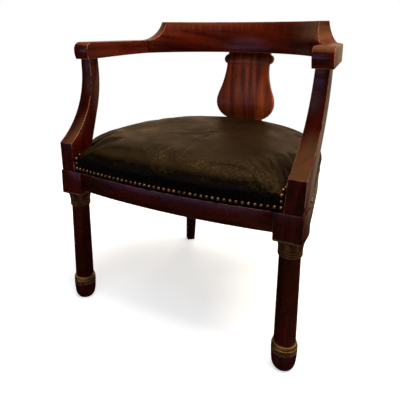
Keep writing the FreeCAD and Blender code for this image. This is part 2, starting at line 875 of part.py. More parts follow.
def splat_slot(skin, top=splat_lobe_height):
    grow = upholstery_clearance + skin
    half = splat_base_half + grow
    return box(-half, half, splat_depth - grow, splat_depth + splat_thickness + grow, 0, top)


def make_leather():
    low = rail_show_top + leather_edge_gap
    outer = cushion_form(low, 0)
    inner = cushion_form(low - leather_thickness, leather_thickness)
    # The leather is slit round the splat and stops above the rear rail there
    return outer.cut([inner, splat_slot(2 * leather_thickness, hessian_top)])


def make_stuffing():
    form = cushion_form(rail_show_top, leather_thickness + leather_clearance)
    return form.cut(box(-2 * leg_outer_x, 2 * leg_outer_x, -leg_outer_x, 2 * rear_reach, 0, hessian_top))


def make_hessian():
    sheet = Part.Face(seat_wire(leather_rebate + hessian_margin, webbing_top))
    sheet = sheet.extrude(FreeCAD.Vector(0, 0, hessian_thickness))
    skin = leather_thickness + leather_clearance
    return sheet.cut([post_notch(1, skin), post_notch(-1, skin), splat_slot(skin)])


def make_lengthwise_webbing():
    straps = []
    for index in range(webbing_count):
        middle = (index - (webbing_count - 1) / 2) * webbing_pitch
        x0 = middle - webbing_width / 2
        x1 = middle + webbing_width / 2
        outer = max(abs(x0), abs(x1))
        front = bow_depth(outer, leather_rebate) + webbing_rail_margin
        radius = seat_radius - leather_rebate - webbing_rail_margin
        rear = seat_centre_depth + math.sqrt(radius ** 2 - outer ** 2)
        splat_edge = splat_base_half + upholstery_clearance
        if min(abs(x0), abs(x1)) < splat_edge:
            rear = splat_depth - upholstery_clearance
        straps.append(box(x0, x1, front, rear, rail_top, rail_top + webbing_thickness))
    return Part.makeCompound(straps)


def make_crosswise_webbing():
    straps = []
    low = rail_top + webbing_thickness
    for index in range(webbing_count):
        middle = cross_webbing_first_depth + index * cross_webbing_pitch
        depth0 = middle - webbing_width / 2
        depth1 = middle + webbing_width / 2
        half = min(side_x(depth0, leather_rebate), side_x(depth1, leather_rebate)) - webbing_rail_margin
        straps.append(box(-half, half, depth0, depth1, low, low + webbing_thickness))
    return Part.makeCompound(straps)


# Brass nails

def nail_blank():
    def ring(radius, z):
        points = []
        for corner in range(nail_sides):
            turn = 2 * math.pi * corner / nail_sides
            points.append(FreeCAD.Vector(radius * math.cos(turn), radius * math.sin(turn), z))
        return points

    low = ring(nail_diameter / 2, 0)
    high = ring(nail_crown_diameter / 2, nail_height)
    faces = [polygon(low), polygon(high)]
    for corner in range(nail_sides):
        after = (corner + 1) % nail_sides
        faces.append(polygon([low[corner], low[after], high[after], high[corner]]))
    return Part.Solid(Part.Shell(faces))


def nail_at(place, outward):
    head = nail_blank()
    turn = FreeCAD.Rotation(FreeCAD.Vector(0, 0, 1), outward)
    head.Placement = FreeCAD.Placement(place + outward * leather_clearance / 3, turn)
    return head


def leather_inset(z):
    # How far the upright leather stands inside the rail's face, less where it swells
    swell = (z - rail_top) / (leather_bulge_height - rail_top)
    return leather_face - (leather_face + leather_bulge) * min(max(swell, 0), 1)


def front_nail(x, z):
    inset = leather_inset(z + nail_diameter / 2)
    normal = FreeCAD.Vector(x, bow_depth(x, inset) - bow_centre_depth, 0).normalize()
    return nail_at(spot(x, bow_depth(x, inset), z), normal)


def make_front_nails():
    half = post_inner_x - upholstery_clearance - nail_diameter / 2 - 1
    count = round(2 * half / nail_pitch)
    pitch = 2 * half / count
    nails = [front_nail(-half + index * pitch, nail_line) for index in range(count + 1)]
    for sign in (-1, 1):
        for step in range(1, nails_up_post + 1):
            nails.append(front_nail(sign * half, nail_line + step * nail_pitch))
    return Part.makeCompound(nails)


def make_side_nails():
    radius = seat_radius - leather_face
    turn = math.radians(seat_flare)
    start_depth = leg_rear_depth + upholstery_clearance + nail_diameter
    bend_depth = seat_centre_depth + radius * math.sin(turn)
    straight = (bend_depth - start_depth) / math.cos(turn)
    length = straight + radius * (math.pi / 2 - turn)
    count = round(length / nail_pitch)
    nails = []
    for index in range(count + 1):
        s = index * length / count
        if s < straight:
            depth = start_depth + s * math.cos(turn)
            place = spot(side_x(depth, leather_face), depth, nail_line)
            outward = FreeCAD.Vector(math.cos(turn), math.sin(turn), 0)
        else:
            angle = 90 - seat_flare - math.degrees((s - straight) / radius)
            place = polar(radius, angle, seat_centre_depth, nail_line)
            outward = FreeCAD.Vector(math.sin(math.radians(angle)), math.cos(math.radians(angle)), 0)
        nails.append(nail_at(place, outward))
        if index < count:
            nails.append(mirrored(nails[-1]))
    return Part.makeCompound(nails)


def main():
    os.makedirs("parts", exist_ok=True)
    nodes = {
        "crest_rail": make_crest_rail(),
        "front_rail": make_front_rail(),
        "back_splat": splat_form(0),
        "leather_cover": make_leather(),
        "seat_stuffing": make_stuffing(),
        "hessian_base": make_hessian(),
        "webbing_lengthwise": make_lengthwise_webbing(),
        "webbing_crosswise": make_crosswise_webbing(),
        "front_nails": make_front_nails(),
        "side_nails": make_side_nails(),
        "yoke_tongues": both_sides(yoke_tongue(0)),
        "corner_screws": both_sides(corner_screw(0)),
        "leg_capitals": both_sides(make_capital()),
        "leg_collars": both_sides(make_collar()),
        "leg_toes": both_sides(make_toe()),
    }
    side_rail, nodes["rear_rail"] = make_curved_rails()
    pairs = {
        "arm": make_arm(),
        "arm_post": make_post(),
        "front_leg": make_front_leg(),
        "side_rail": side_rail,
        "rear_leg": make_rear_leg(),
        "corner_block": make_corner_block(),
    }
    for name, shape in pairs.items():
        nodes[name + "_right"] = shape
        nodes[name + "_left"] = mirrored(shape)
    for name, shape in nodes.items():
        shape.exportStep("parts/" + name + ".step")
        solids = shape.Solids
        print(name, len(solids), "solids", round(shape.Volume / 1000, 1), "cm3", "valid", shape.isValid())


main()
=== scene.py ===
import json
import math
from contextlib import contextmanager

import bmesh
import bpy
from mathutils import Matrix, Vector, noise

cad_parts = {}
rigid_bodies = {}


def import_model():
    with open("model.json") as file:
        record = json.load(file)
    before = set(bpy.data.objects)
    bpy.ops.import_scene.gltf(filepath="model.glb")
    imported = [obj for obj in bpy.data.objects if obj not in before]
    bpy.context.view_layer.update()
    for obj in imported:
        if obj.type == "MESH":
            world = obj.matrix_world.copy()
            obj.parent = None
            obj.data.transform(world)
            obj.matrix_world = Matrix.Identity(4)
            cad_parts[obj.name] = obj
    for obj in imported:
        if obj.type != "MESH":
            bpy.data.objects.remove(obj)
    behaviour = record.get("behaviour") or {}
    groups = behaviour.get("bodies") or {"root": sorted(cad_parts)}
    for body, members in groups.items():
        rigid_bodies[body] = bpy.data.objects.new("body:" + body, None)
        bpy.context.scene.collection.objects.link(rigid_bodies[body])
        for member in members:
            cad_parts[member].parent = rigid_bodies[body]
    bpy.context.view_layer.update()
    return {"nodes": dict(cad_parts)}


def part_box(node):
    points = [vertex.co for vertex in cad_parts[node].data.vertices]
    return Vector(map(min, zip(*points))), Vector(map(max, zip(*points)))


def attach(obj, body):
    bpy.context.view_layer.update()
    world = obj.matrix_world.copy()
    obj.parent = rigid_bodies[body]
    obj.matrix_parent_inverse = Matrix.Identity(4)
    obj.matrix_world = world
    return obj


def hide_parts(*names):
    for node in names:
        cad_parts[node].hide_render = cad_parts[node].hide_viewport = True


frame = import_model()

print("frame loaded,", len(frame["nodes"]), "nodes")

chair = {                       # main places, in metres, as the frame has them
    "frontY": -0.26175,         # front faces of the arm posts
    "yokeCentre": 0.222,        # depth of the horseshoe's centre
    "seatCentre": 0.240,
    "seatRadius": 0.290,
    "seatFlare": math.radians(7.9),
    "bowRadius": 1.6478,
    "bowReach": 0.020,
    "postInner": 0.27525,
    "legX": 0.2873,
    "legDepth": 0.02865,
    "railShow": 0.3774,
}
weldGap = 0.00002               # points closer than this are one


def atDepth(depth):
    return chair["frontY"] + depth


# working helpers

def clearSelection():
    if bpy.context.mode != "OBJECT":
        bpy.ops.object.mode_set(mode="OBJECT")
    bpy.ops.object.select_all(action="DESELECT")


def takeUp(piece):
    clearSelection()
    piece.select_set(True)
    bpy.context.view_layer.objects.active = piece


@contextmanager
def editing(piece, action="SELECT"):
    takeUp(piece)
    bpy.ops.object.mode_set(mode="EDIT")
    bpy.ops.mesh.select_all(action=action)
    yield
    bpy.ops.object.mode_set(mode="OBJECT")


def faceOutward(piece):
    with editing(piece):
        bpy.ops.mesh.normals_make_consistent(inside=False)


def newObject(name, data):
    thing = bpy.data.objects.new(name, data)
    bpy.context.scene.collection.objects.link(thing)
    return thing


def fixPlace():
    bpy.ops.object.transform_apply(location=True, rotation=True, scale=True)


def useModifier(piece, kind, **values):
    takeUp(piece)
    modifier = piece.modifiers.new(kind.title(), kind)
    for key, value in values.items():
        setattr(modifier, key, value)
    bpy.ops.object.modifier_apply(modifier=modifier.name)


def smoothByAngle(piece, degrees=32):
    takeUp(piece)
    bpy.ops.object.shade_smooth_by_angle(angle=math.radians(degrees))


def settle(piece, slotName, *nodes):
    takeUp(piece)
    fixPlace()
    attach(piece, "root")
    if nodes:
        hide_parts(*nodes)
    return piece


def dress(piece, material):
    piece.data.materials.clear()
    piece.data.materials.append(material)


def mark(piece, name, valueAt):
    marks = piece.data.attributes.new(name, "FLOAT", "POINT")
    for vertex in piece.data.vertices:
        marks.data[vertex.index].value = valueAt(vertex)


def smoothStep(low, high, value):
    t = min(max((value - low) / (high - low), 0.0), 1.0)
    return t * t * (3 - 2 * t)


def hump(value, centre, width):
    return math.exp(-((value - centre) / width) ** 2)


# shader helpers; a value is either set on a socket or, if it comes from a node, linked to it

def setSocket(tree, socket, value):
    if isinstance(value, bpy.types.NodeSocket):
        tree.links.new(value, socket)
    else:
        socket.default_value = value


def feed(tree, node, values):
    for key, value in values.items():
        setSocket(tree, node.inputs[key], value)


def putNode(tree, kind, **values):
    node = tree.nodes.new(kind)
    for key, value in values.items():
        if key in node.inputs:
            setSocket(tree, node.inputs[key], value)
        else:
            setattr(node, key, value)
    return node


def fill(tree, node, *values):
    for socket, value in zip(node.inputs, values):
        setSocket(tree, socket, value)
    return node.outputs


def mathNode(tree, operation, *values, clamp=False):
    return fill(tree, putNode(tree, "ShaderNodeMath", operation=operation, use_clamp=clamp), *values)[0]


def vectorNode(tree, operation, *values):
    return fill(tree, putNode(tree, "ShaderNodeVectorMath", operation=operation), *values)


def plus(tree, a, b):
    return mathNode(tree, "ADD", a, b)


def minus(tree, a, b, clamp=False):
    return mathNode(tree, "SUBTRACT", a, b, clamp=clamp)


def times(tree, a, b, clamp=False):
    return mathNode(tree, "MULTIPLY", a, b, clamp=clamp)


def larger(tree, a, b):
    return mathNode(tree, "MAXIMUM", a, b)


def mixColour(tree, factor, a, b, blend="MIX"):
    node = putNode(tree, "ShaderNodeMix", data_type="RGBA", blend_type=blend)
    for index, value in ((0, factor), (6, a), (7, b)):      # the colour sockets of this node
        setSocket(tree, node.inputs[index], value)
    return node.outputs[2]


def mixShaders(tree, factor, a, b):
    return fill(tree, putNode(tree, "ShaderNodeMixShader"), factor, a, b)[0]


def ramp(tree, source, *stops):
    node = putNode(tree, "ShaderNodeValToRGB", Fac=source)
    for element, (position, level) in zip(node.color_ramp.elements, stops):
        element.position = position
        element.color = (level, level, level, 1)
    return node.outputs[0]


def spanNode(tree, source, low, high, toLow=0.0, toHigh=1.0):
    node = putNode(tree, "ShaderNodeMapRange", interpolation_type="SMOOTHSTEP", Value=source, **{
        "From Min": low, "From Max": high, "To Min": toLow, "To Max": toHigh})
    return node.outputs[0]


def stretched(tree, vector, scale):
    return putNode(tree, "ShaderNodeMapping", Scale=scale, Vector=vector).outputs[0]


def noiseNode(tree, vector, scale, detail=3.0, roughness=0.55, distortion=0.0):
    return putNode(tree, "ShaderNodeTexNoise", Scale=scale, Detail=detail, Roughness=roughness,
                   Distortion=distortion, Vector=vector).outputs["Fac"]


def objectPlace(tree):
    return putNode(tree, "ShaderNodeTexCoord").outputs["Object"]


def marked(tree, name, output="Fac"):
    return putNode(tree, "ShaderNodeAttribute", attribute_name=name).outputs[output]


def newGroup(name, inputs, outputs):
    # an input without a value takes a place, one with four values a colour
    group = bpy.data.node_groups.new(name, "ShaderNodeTree")
    kinds = {type(None): "NodeSocketVector", float: "NodeSocketFloat", tuple: "NodeSocketColor"}
    for label, value in inputs.items():
        socket = group.interface.new_socket(name=label, in_out="INPUT", socket_type=kinds[type(value)])
        if value is not None:
            socket.default_value = value
    for label in outputs:
        kind = "NodeSocketColor" if label == "Color" else "NodeSocketFloat"
        group.interface.new_socket(name=label, in_out="OUTPUT", socket_type=kind)
    return group, putNode(group, "NodeGroupInput").outputs, putNode(group, "NodeGroupOutput")


def useGroup(tree, group, **values):
    return putNode(tree, "ShaderNodeGroup", node_tree=group, **values).outputs


def newMaterial(name):
    material = bpy.data.materials.new(name)
    material.use_nodes = True
    tree = material.node_tree
    return material, tree, tree.nodes["Principled BSDF"]


def bumpFrom(tree, shader, height, strength, distance):
    bump = putNode(tree, "ShaderNodeBump", Strength=strength, Distance=distance, Height=height)
    feed(tree, shader, {"Normal": bump.outputs[0]})


# polished wood

def makeGrainGroup():
    # grain that runs along a piece, read from the piece's own attribute
    group, start, end = newGroup("mahoganyGrain", {
        "Grain Space": None, "Stripe Width": 1.0, "Flame": 0.0,
        "Dark": (0.02, 0.004, 0.002, 1), "Warm": (0.09, 0.02, 0.008, 1)}, ("Color", "Pores"))
    space = start["Grain Space"]
    wander = noiseNode(group, stretched(group, space, (6, 10, 10)), 1.0, 2.0)
    lean = times(group, minus(group, wander, 0.5), start["Flame"])
    split = putNode(group, "ShaderNodeSeparateXYZ", Vector=space).outputs
    across = [times(group, plus(group, split[axis], lean), start["Stripe Width"]) for axis in (1, 2)]
    drawn = putNode(group, "ShaderNodeCombineXYZ", X=times(group, split[0], 0.045), Y=across[0], Z=across[1])
    stripe = noiseNode(group, drawn.outputs[0], 70.0, 2.0, 0.5, 0.15)
    fine = noiseNode(group, stretched(group, space, (26, 900, 900)), 1.0, 2.0, 0.6)
    dots = noiseNode(group, stretched(group, space, (55, 1900, 1900)), 1.0, 1.0)
    pores = ramp(group, dots, (0.62, 0.0), (0.72, 1.0))
    cloudy = noiseNode(group, stretched(group, space, (4, 7, 7)), 1.0, 2.0)
    tone = plus(group, times(group, stripe, 0.75), times(group, fine, 0.25))
    tone = plus(group, tone, times(group, minus(group, cloudy, 0.5), 0.3))
    mask = ramp(group, tone, (0.36, 0.0), (0.64, 1.0))
    colour = mixColour(group, mask, start["Dark"], start["Warm"])
    colour = mixColour(group, times(group, pores, 0.35), colour, (0.006, 0.002, 0.001, 1))
    feed(group, end, {"Color": colour, "Pores": pores})
    return group


def makeWearGlintGroup():
    # patches along the arrises where the polish is gone, painted pale; the pale edge is also a painted
    # highlight of the eased arris
    group, start, end = newGroup("edgeWearGlint", {"Place": None, "Arris": 0.0, "Amount": 0.5}, ("Mask",))
    patches = noiseNode(group, start["Place"], 40.0, 4.0, 0.6)
    limit = mathNode(group, "MULTIPLY_ADD", minus(group, 1.0, start["Amount"]), 0.6, 0.2)
    mask = times(group, minus(group, patches, limit), 7.0, True)
    feed(group, end, {"Mask": times(group, mask, start["Arris"], True)})
    return group


def makeRubGroup():
    # uneven gloss from handling
    group, start, end = newGroup("polishRub", {"Place": None, "Low": 0.2, "High": 0.4},
                                 ("Roughness", "Smear"))
    smear = noiseNode(group, start["Place"], 14.0, 5.0, 0.6)
    spots = noiseNode(group, start["Place"], 160.0, 2.0)
    both = plus(group, times(group, smear, 0.93), times(group, spots, 0.07))
    shaped = ramp(group, both, (0.35, 0.0), (0.65, 1.0))
    spread = minus(group, start["High"], start["Low"])
    feed(group, end, {"Roughness": plus(group, times(group, shaped, spread), start["Low"]), "Smear": shaped})
    return group


grainGroup = makeGrainGroup()
wearGlintGroup = makeWearGlintGroup()
rubGroup = makeRubGroup()
sapwoodTint = (3.6, 4.6, 2.6, 1)
wornEdgeGlint = (0.14, 0.14 * 0.62, 0.14 * 0.4)     # what the worn arrises add: bare wood under lost polish and a painted edge highlight


def mahogany(name, dark, warm, stripe, flame, wearAndGlint, rough=(0.2, 0.32)):
    material, tree, shader = newMaterial(name)
    place = objectPlace(tree)
    grain = useGroup(tree, grainGroup, **{"Grain Space": marked(tree, "grainSpace", "Vector"),
                                          "Stripe Width": stripe, "Flame": flame, "Dark": dark, "Warm": warm})
    worn = useGroup(tree, wearGlintGroup, Place=place, Arris=marked(tree, "arris"), Amount=wearAndGlint)
    rub = useGroup(tree, rubGroup, Place=place, Low=rough[0], High=rough[1])
    wornGlintColour = tuple(min(1.0, c * 2.4 + more) for c, more in zip(warm, wornEdgeGlint)) + (1,)
    pale = mixColour(tree, marked(tree, "sapwood"), grain["Color"], sapwoodTint, "MULTIPLY")
    # the arrises are painted paler: partly worn polish, partly a painted highlight of the edge
    colour = mixColour(tree, worn["Mask"], pale, wornGlintColour)
    feed(tree, shader, {"Base Color": colour, "Roughness": rub["Roughness"],
                        "Specular IOR Level": 0.36, "Specular Tint": (1.0, 0.86, 0.74, 1)})
    height = minus(tree, times(tree, rub["Smear"], 0.2), times(tree, grain["Pores"], 0.3))
    bumpFrom(tree, shader, height, 0.15, 0.0003)
    return material


woodTones = {
    "showWood": mahogany("mahoganyPolished", (0.011, 0.0003, 0.0001, 1), (0.043, 0.0018, 0.0003, 1),
                          0.8, 0.012, 0.68),
    "crestWood": mahogany("mahoganyFlame", (0.024, 0.0012, 0.0002, 1), (0.084, 0.0066, 0.0010, 1),
                          0.55, 0.03, 0.74),
    "splatWood": mahogany("mahoganyRibbon", (0.030, 0.0026, 0.0012, 1), (0.20, 0.030, 0.009, 1),
                          0.62, 0.006, 0.55),
}
beechDark, beechWarm = (0.28, 0.15, 0.07, 1), (0.42, 0.26, 0.13, 1)
beech = mahogany("beechPlain", beechDark, beechWarm, 1.2, 0.05, 0.2, (0.55, 0.75))


def innerBeech():
    # for the tongues inside the joints, which have no grain of their own marked
    material, tree, shader = newMaterial("beechInner")
    grain = useGroup(tree, grainGroup, **{"Grain Space": objectPlace(tree), "Stripe Width": 1.2,
                                          "Flame": 0.05, "Dark": beechDark, "Warm": beechWarm})
    feed(tree, shader, {"Base Color": grain["Color"], "Roughness": 0.7})
    bumpFrom(tree, shader, grain["Pores"], 0.2, 0.0004)
    return material


# wooden pieces keep the frame's shapes and get their arrises eased

def editMesh(piece, change):
    build = bmesh.new()
    build.from_mesh(piece.data)
    change(build)
    build.to_mesh(piece.data)
    build.free()


def sliceAt(build, level):
    bmesh.ops.bisect_plane(build, geom=build.verts[:] + build.edges[:] + build.faces[:],
                           plane_co=(0, 0, level), plane_no=(0, 0, 1))


noseSettings = {"flatLow": 0.660, "flatHigh": 0.685, "rows": 8, "undercut": 0.0065}


def rollNose(piece):
    # the flat under the arm's nose is worn round as well
    s = noseSettings
    front = min(vertex.co.y for vertex in piece.data.vertices)
    flat = s["flatHigh"] - s["flatLow"]

    def roll(build):
        for row in range(1, s["rows"]):
            sliceAt(build, s["flatLow"] + flat * row / s["rows"])
        for vertex in build.verts:
            if vertex.co.y < front + 0.0001 and vertex.co.z < s["flatHigh"]:
                vertex.co.y += s["undercut"] * ((s["flatHigh"] - vertex.co.z) / flat) ** 2

    editMesh(piece, roll)


splatSettings = {"strip": 0.006, "jump": 0.004, "paleFrom": -0.010, "paleTo": 0.045, "pale": 0.55}


def evenSplat(piece):
    # unbent, cut into even strips and bent again, so that the bend shades cleanly
    s = splatSettings
    corners = [vertex.co.copy() for vertex in piece.data.vertices]
    table = []
    for level in sorted({round(corner.z, 5) for corner in corners}):
        front = min(corner.y for corner in corners if abs(corner.z - level) < weldGap)
        if not table or front - table[-1][1] < s["jump"]:       # a lone point inside the edge is no front
            table.append((level, front))

    def frontAt(level):
        for (lowZ, lowY), (highZ, highY) in zip(table, table[1:]):
            if level <= highZ:
                return lowY + (highY - lowY) * (level - lowZ) / (highZ - lowZ)
        return table[-1][1]

    def unbend(build):
        for vertex in build.verts:
            vertex.co.y -= frontAt(vertex.co.z)
        bmesh.ops.dissolve_limit(build, angle_limit=math.radians(1.0), verts=build.verts[:],
                                 edges=build.edges[:])
        level = table[0][0] + s["strip"]
        while level < table[-1][0]:
            sliceAt(build, level)
            level += s["strip"]
        for vertex in build.verts:
            vertex.co.y += frontAt(vertex.co.z)

    editMesh(piece, unbend)


columnSettings = {"within": 0.0236, "below": 0.3172, "fuller": 0.08}


def fillColumn(piece):
    # the turned shaft is a little fuller than the plain one
    s = columnSettings
    for vertex in piece.data.vertices:
        dx = vertex.co.x - math.copysign(chair["legX"], vertex.co.x)
        dy = vertex.co.y - atDepth(chair["legDepth"])
        if math.hypot(dx, dy) < s["within"] and vertex.co.z < s["below"]:
            vertex.co.x += dx * s["fuller"]
            vertex.co.y += dy * s["fuller"]


refinements = {"arm_left": rollNose, "arm_right": rollNose, "back_splat": evenSplat,
               "front_leg_left": fillColumn, "front_leg_right": fillColumn}
# short hidden edges would thin the arrises of these
unclamped = ("crest_rail", "arm_left", "arm_right", "back_splat")


def woodCopy(nodeName, arris):
    mesh = frame["nodes"][nodeName].data.copy()
    first, *rest = nodeName.split("_")
    piece = newObject(first + "".join(word.title() for word in rest), mesh)
    takeUp(piece)
    bpy.ops.mesh.customdata_custom_splitnormals_clear()
    with editing(piece):
        bpy.ops.mesh.remove_doubles(threshold=weldGap)
        bpy.ops.mesh.dissolve_limited(angle_limit=math.radians(0.5))
    if nodeName in refinements:
        refinements[nodeName](piece)
    mesh.materials.clear()
    for slot in range(2):                   # the second slot only tells the eased faces apart
        mesh.materials.append(None)
    for polygon in mesh.polygons:
        polygon.material_index = 0
    useModifier(piece, "BEVEL", width=arris, segments=2, limit_method="ANGLE", angle_limit=math.radians(28),
                material=1, use_clamp_overlap=nodeName not in unclamped)
    marks = mesh.attributes.new("arris", "FLOAT", "FACE")
    for polygon in mesh.polygons:
        marks.data[polygon.index].value = float(polygon.material_index)
        polygon.material_index = 0
    smoothByAngle(piece)
    return piece


def runGrain(piece, along, lean=0.0, shift=(0, 0, 0)):
    marks = piece.data.attributes.new("grainSpace", "FLOAT_VECTOR", "POINT")
    for vertex in piece.data.vertices:
        run, across, deep = along(vertex.co)
        marks.data[vertex.index].vector = (run + shift[0], across + run * lean + shift[1], deep + shift[2])


def keepJoint(piece, along, outward):
    # the glued joint between crest and arm gets neither worn edge colour nor painted edge highlight
    runs = [outward * abs(along(vertex.co)[0]) for vertex in piece.data.vertices]
    joint = max(runs)
    marks = piece.data.attributes["arris"]
    for polygon in piece.data.polygons:
        if max(runs[corner] for corner in polygon.vertices) > joint - 0.003:
            marks.data[polygon.index].value = 0.0


def upright(co):
    return co.z, co.x, co.y


def boardUpright(co):
    return co.z, co.x, 0.0


def sideways(co):
    return co.x, co.z, co.y


def roundCentre(centreDepth, radius):
    def along(co):
        back = co.y - atDepth(centreDepth)
        if back > 0:
            turn = math.atan2(co.x, back)
            return radius * turn, co.z, math.hypot(co.x, back)
        return math.copysign(radius * math.pi / 2 - back, co.x), co.z, abs(co.x)
    return along


yokeRun = roundCentre(chair["yokeCentre"], 0.30)
seatRun = roundCentre(chair["seatCentre"], 0.27)

woodSettings = {                # node: (arris, wood, grain, lean, shift)
    "crest_rail": (0.0012, "crestWood", yokeRun, 0.16, (0.0, 0.0, 0.0)),
    "arm_left": (0.0012, "crestWood", yokeRun, 0.1, (1.3, 0.2, 0.0)),
    "arm_right": (0.0012, "crestWood", yokeRun, 0.1, (2.1, 0.5, 0.0)),
    "arm_post_left": (0.0011, "showWood", upright, 0.2, (3.0, 0.0, 0.3)),
    "arm_post_right": (0.0011, "showWood", upright, -0.2, (4.0, 0.6, 0.0)),
    "front_leg_left": (0.001, "showWood", upright, 0.0, (5.0, 0.0, 0.2)),
    "front_leg_right": (0.001, "showWood", upright, 0.0, (6.0, 0.3, 0.0)),
    "front_rail": (0.0009, "showWood", sideways, 0.0, (7.0, 0.1, 0.0)),
    "side_rail_left": (0.0009, "showWood", seatRun, 0.0, (8.0, 0.0, 0.1)),
    "side_rail_right": (0.0009, "showWood", seatRun, 0.0, (9.0, 0.2, 0.0)),
    "rear_rail": (0.0009, "showWood", seatRun, 0.0, (10.0, 0.0, 0.4)),
    "rear_leg_left": (0.001, "showWood", upright, 0.0, (11.0, 0.0, 0.0)),
    "rear_leg_right": (0.001, "showWood", upright, 0.0, (12.0, 0.4, 0.0)),
    "back_splat": (0.0012, "splatWood", boardUpright, 0.03, (13.0, 0.0, 0.0)),
}


def paleWood(vertex):
    # the board's outer wood, which is paler, lies to one side
    s = splatSettings
    return s["pale"] * smoothStep(s["paleFrom"], s["paleTo"], vertex.co.x)


for nodeName, (arris, wood, along, lean, shift) in woodSettings.items():
    piece = woodCopy(nodeName, arris)
    runGrain(piece, along, lean, shift)
    if along is yokeRun:
        keepJoint(piece, along, 1 if nodeName == "crest_rail" else -1)
    if nodeName == "back_splat":
        mark(piece, "sapwood", paleWood)
    dress(piece, woodTones[wood])
    settle(piece, "mahogany", nodeName)
for nodeName in ("corner_block_left", "corner_block_right"):
    piece = woodCopy(nodeName, 0.0012)
    runGrain(piece, sideways, 0.9)
    dress(piece, beech)
    settle(piece, "beech", nodeName)
print("wooden pieces done")


# metals

def brass(name, dark, bright, rough, tarnish, metal=1.0, worked=False):
    material, tree, shader = newMaterial(name)
    place = objectPlace(tree)
    worn = useGroup(tree, rubGroup, Place=place, Low=rough[0], High=rough[1])
    cloud = noiseNode(tree, place, 60.0, 4.0, 0.6)
    mask = ramp(tree, cloud, (tarnish - 0.12, 1.0), (tarnish + 0.12, 0.0))
    if worked:                              # the hollows of the pattern keep their dark patina
        rubbed = minus(tree, marked(tree, "raised"), times(tree, mask, 0.3))
        mask = minus(tree, 1.0, rubbed, True)
    feed(tree, shader, {"Base Color": mixColour(tree, mask, bright, dark), "Roughness": worn["Roughness"],
                        "Metallic": metal, "Specular IOR Level": 0.2})
    bumpFrom(tree, shader, cloud, 0.15, 0.0003)
    return material


patina = (0.040, 0.016, 0.006, 1)
capitalBronze = brass("bronzeCapital", patina, (0.30, 0.140, 0.052, 1), (0.28, 0.42), 0.48, 0.8, True)
collarBrass = brass("brassCollar", patina, (0.56, 0.35, 0.18, 1), (0.22, 0.34), 0.42, 0.9, True)
nailBrass = brass("brassNail", (0.15, 0.095, 0.060, 1), (0.56, 0.40, 0.27, 1), (0.18, 0.32), 0.46, 0.95)
screwSteel = brass("steelScrew", (0.10, 0.09, 0.085, 1), (0.42, 0.4, 0.38, 1), (0.35, 0.55), 0.45)
legSpot = (chair["legX"], atDepth(chair["legDepth"]))


def turnShell(name, centre, profile, sides):
    # a ring is added and extruded up the profile, ring by ring
    clearSelection()
    radius, height = profile[0]
    bpy.ops.mesh.primitive_circle_add(vertices=sides, radius=radius, location=(*centre, height))
    piece = bpy.context.object
    piece.name = name
    fixPlace()
    with editing(piece):
        for (fromRadius, fromHeight), (toRadius, toHeight) in zip(profile, profile[1:]):
            bpy.ops.mesh.extrude_edges_move(TRANSFORM_OT_translate={"value": (0, 0, toHeight - fromHeight)})
            scale = toRadius / fromRadius
            bpy.ops.transform.resize(value=(scale, scale, 1), center_override=(*centre, toHeight))
    return piece


def closeShell(piece, bridged):
    with editing(piece, "DESELECT"):
        bpy.ops.mesh.select_mode(type="EDGE")
        bpy.ops.mesh.select_non_manifold(extend=False)
        if bridged:
            bpy.ops.mesh.bridge_edge_loops()
        else:
            bpy.ops.mesh.edge_face_add()
        bpy.ops.mesh.select_all(action="SELECT")
        bpy.ops.mesh.normals_make_consistent(inside=False)
        bpy.ops.mesh.select_mode(type="VERT")


def mirroredCopy(piece, name):
    other = newObject(name, piece.data.copy())
    with editing(other):
        bpy.ops.transform.resize(value=(-1, 1, 1), center_override=(0, 0, 0))
        bpy.ops.mesh.normals_make_consistent(inside=False)
    return other


def joined(name, *pieces):
    clearSelection()
    for piece in pieces:
        piece.select_set(True)
    bpy.context.view_layer.objects.active = pieces[0]
    bpy.ops.object.join()
    pieces[0].name = name
    return pieces[0]


def fromLeg(vertex):
    return vertex.co.x - legSpot[0], vertex.co.y - legSpot[1]


def carve(piece, reliefAt):
    # moves the surface out from the leg's axis, or in
    for vertex in piece.data.vertices:
        dx, dy = fromLeg(vertex)
        reach = math.hypot(dx, dy)
        scale = 1 + reliefAt(reach, math.atan2(dy, dx) / (2 * math.pi), vertex.co.z) / reach
        vertex.co.x, vertex.co.y = legSpot[0] + dx * scale, legSpot[1] + dy * scale


def markRaised(piece, height):
    def level(vertex):
        return min(max(height(math.hypot(*fromLeg(vertex)), vertex.co.z), 0.0), 1.0)

    mark(piece, "raised", level)


capitalSettings = {
    "sides": 96, "bore": 0.0247, "low": 0.2775, "rings": 3, "ringPitch": 0.0054,
    "ringShape": ((0.06, 0.0007), (0.2, 0.0013), (0.5, 0.0017), (0.8, 0.0013), (0.94, 0.0007)),
    "skin": 0.0008,             # what lies closer to the bore than this is not worked
    "bellTop": 0.314, "bellSteps": 14, "neck": 0.0010, "flare": 0.0036,
    "leaves": 8, "leafRelief": 0.0009,
    "abacus": 0.0622, "abacusHeight": 0.0036, "abacusMiddle": 0.3161,
}


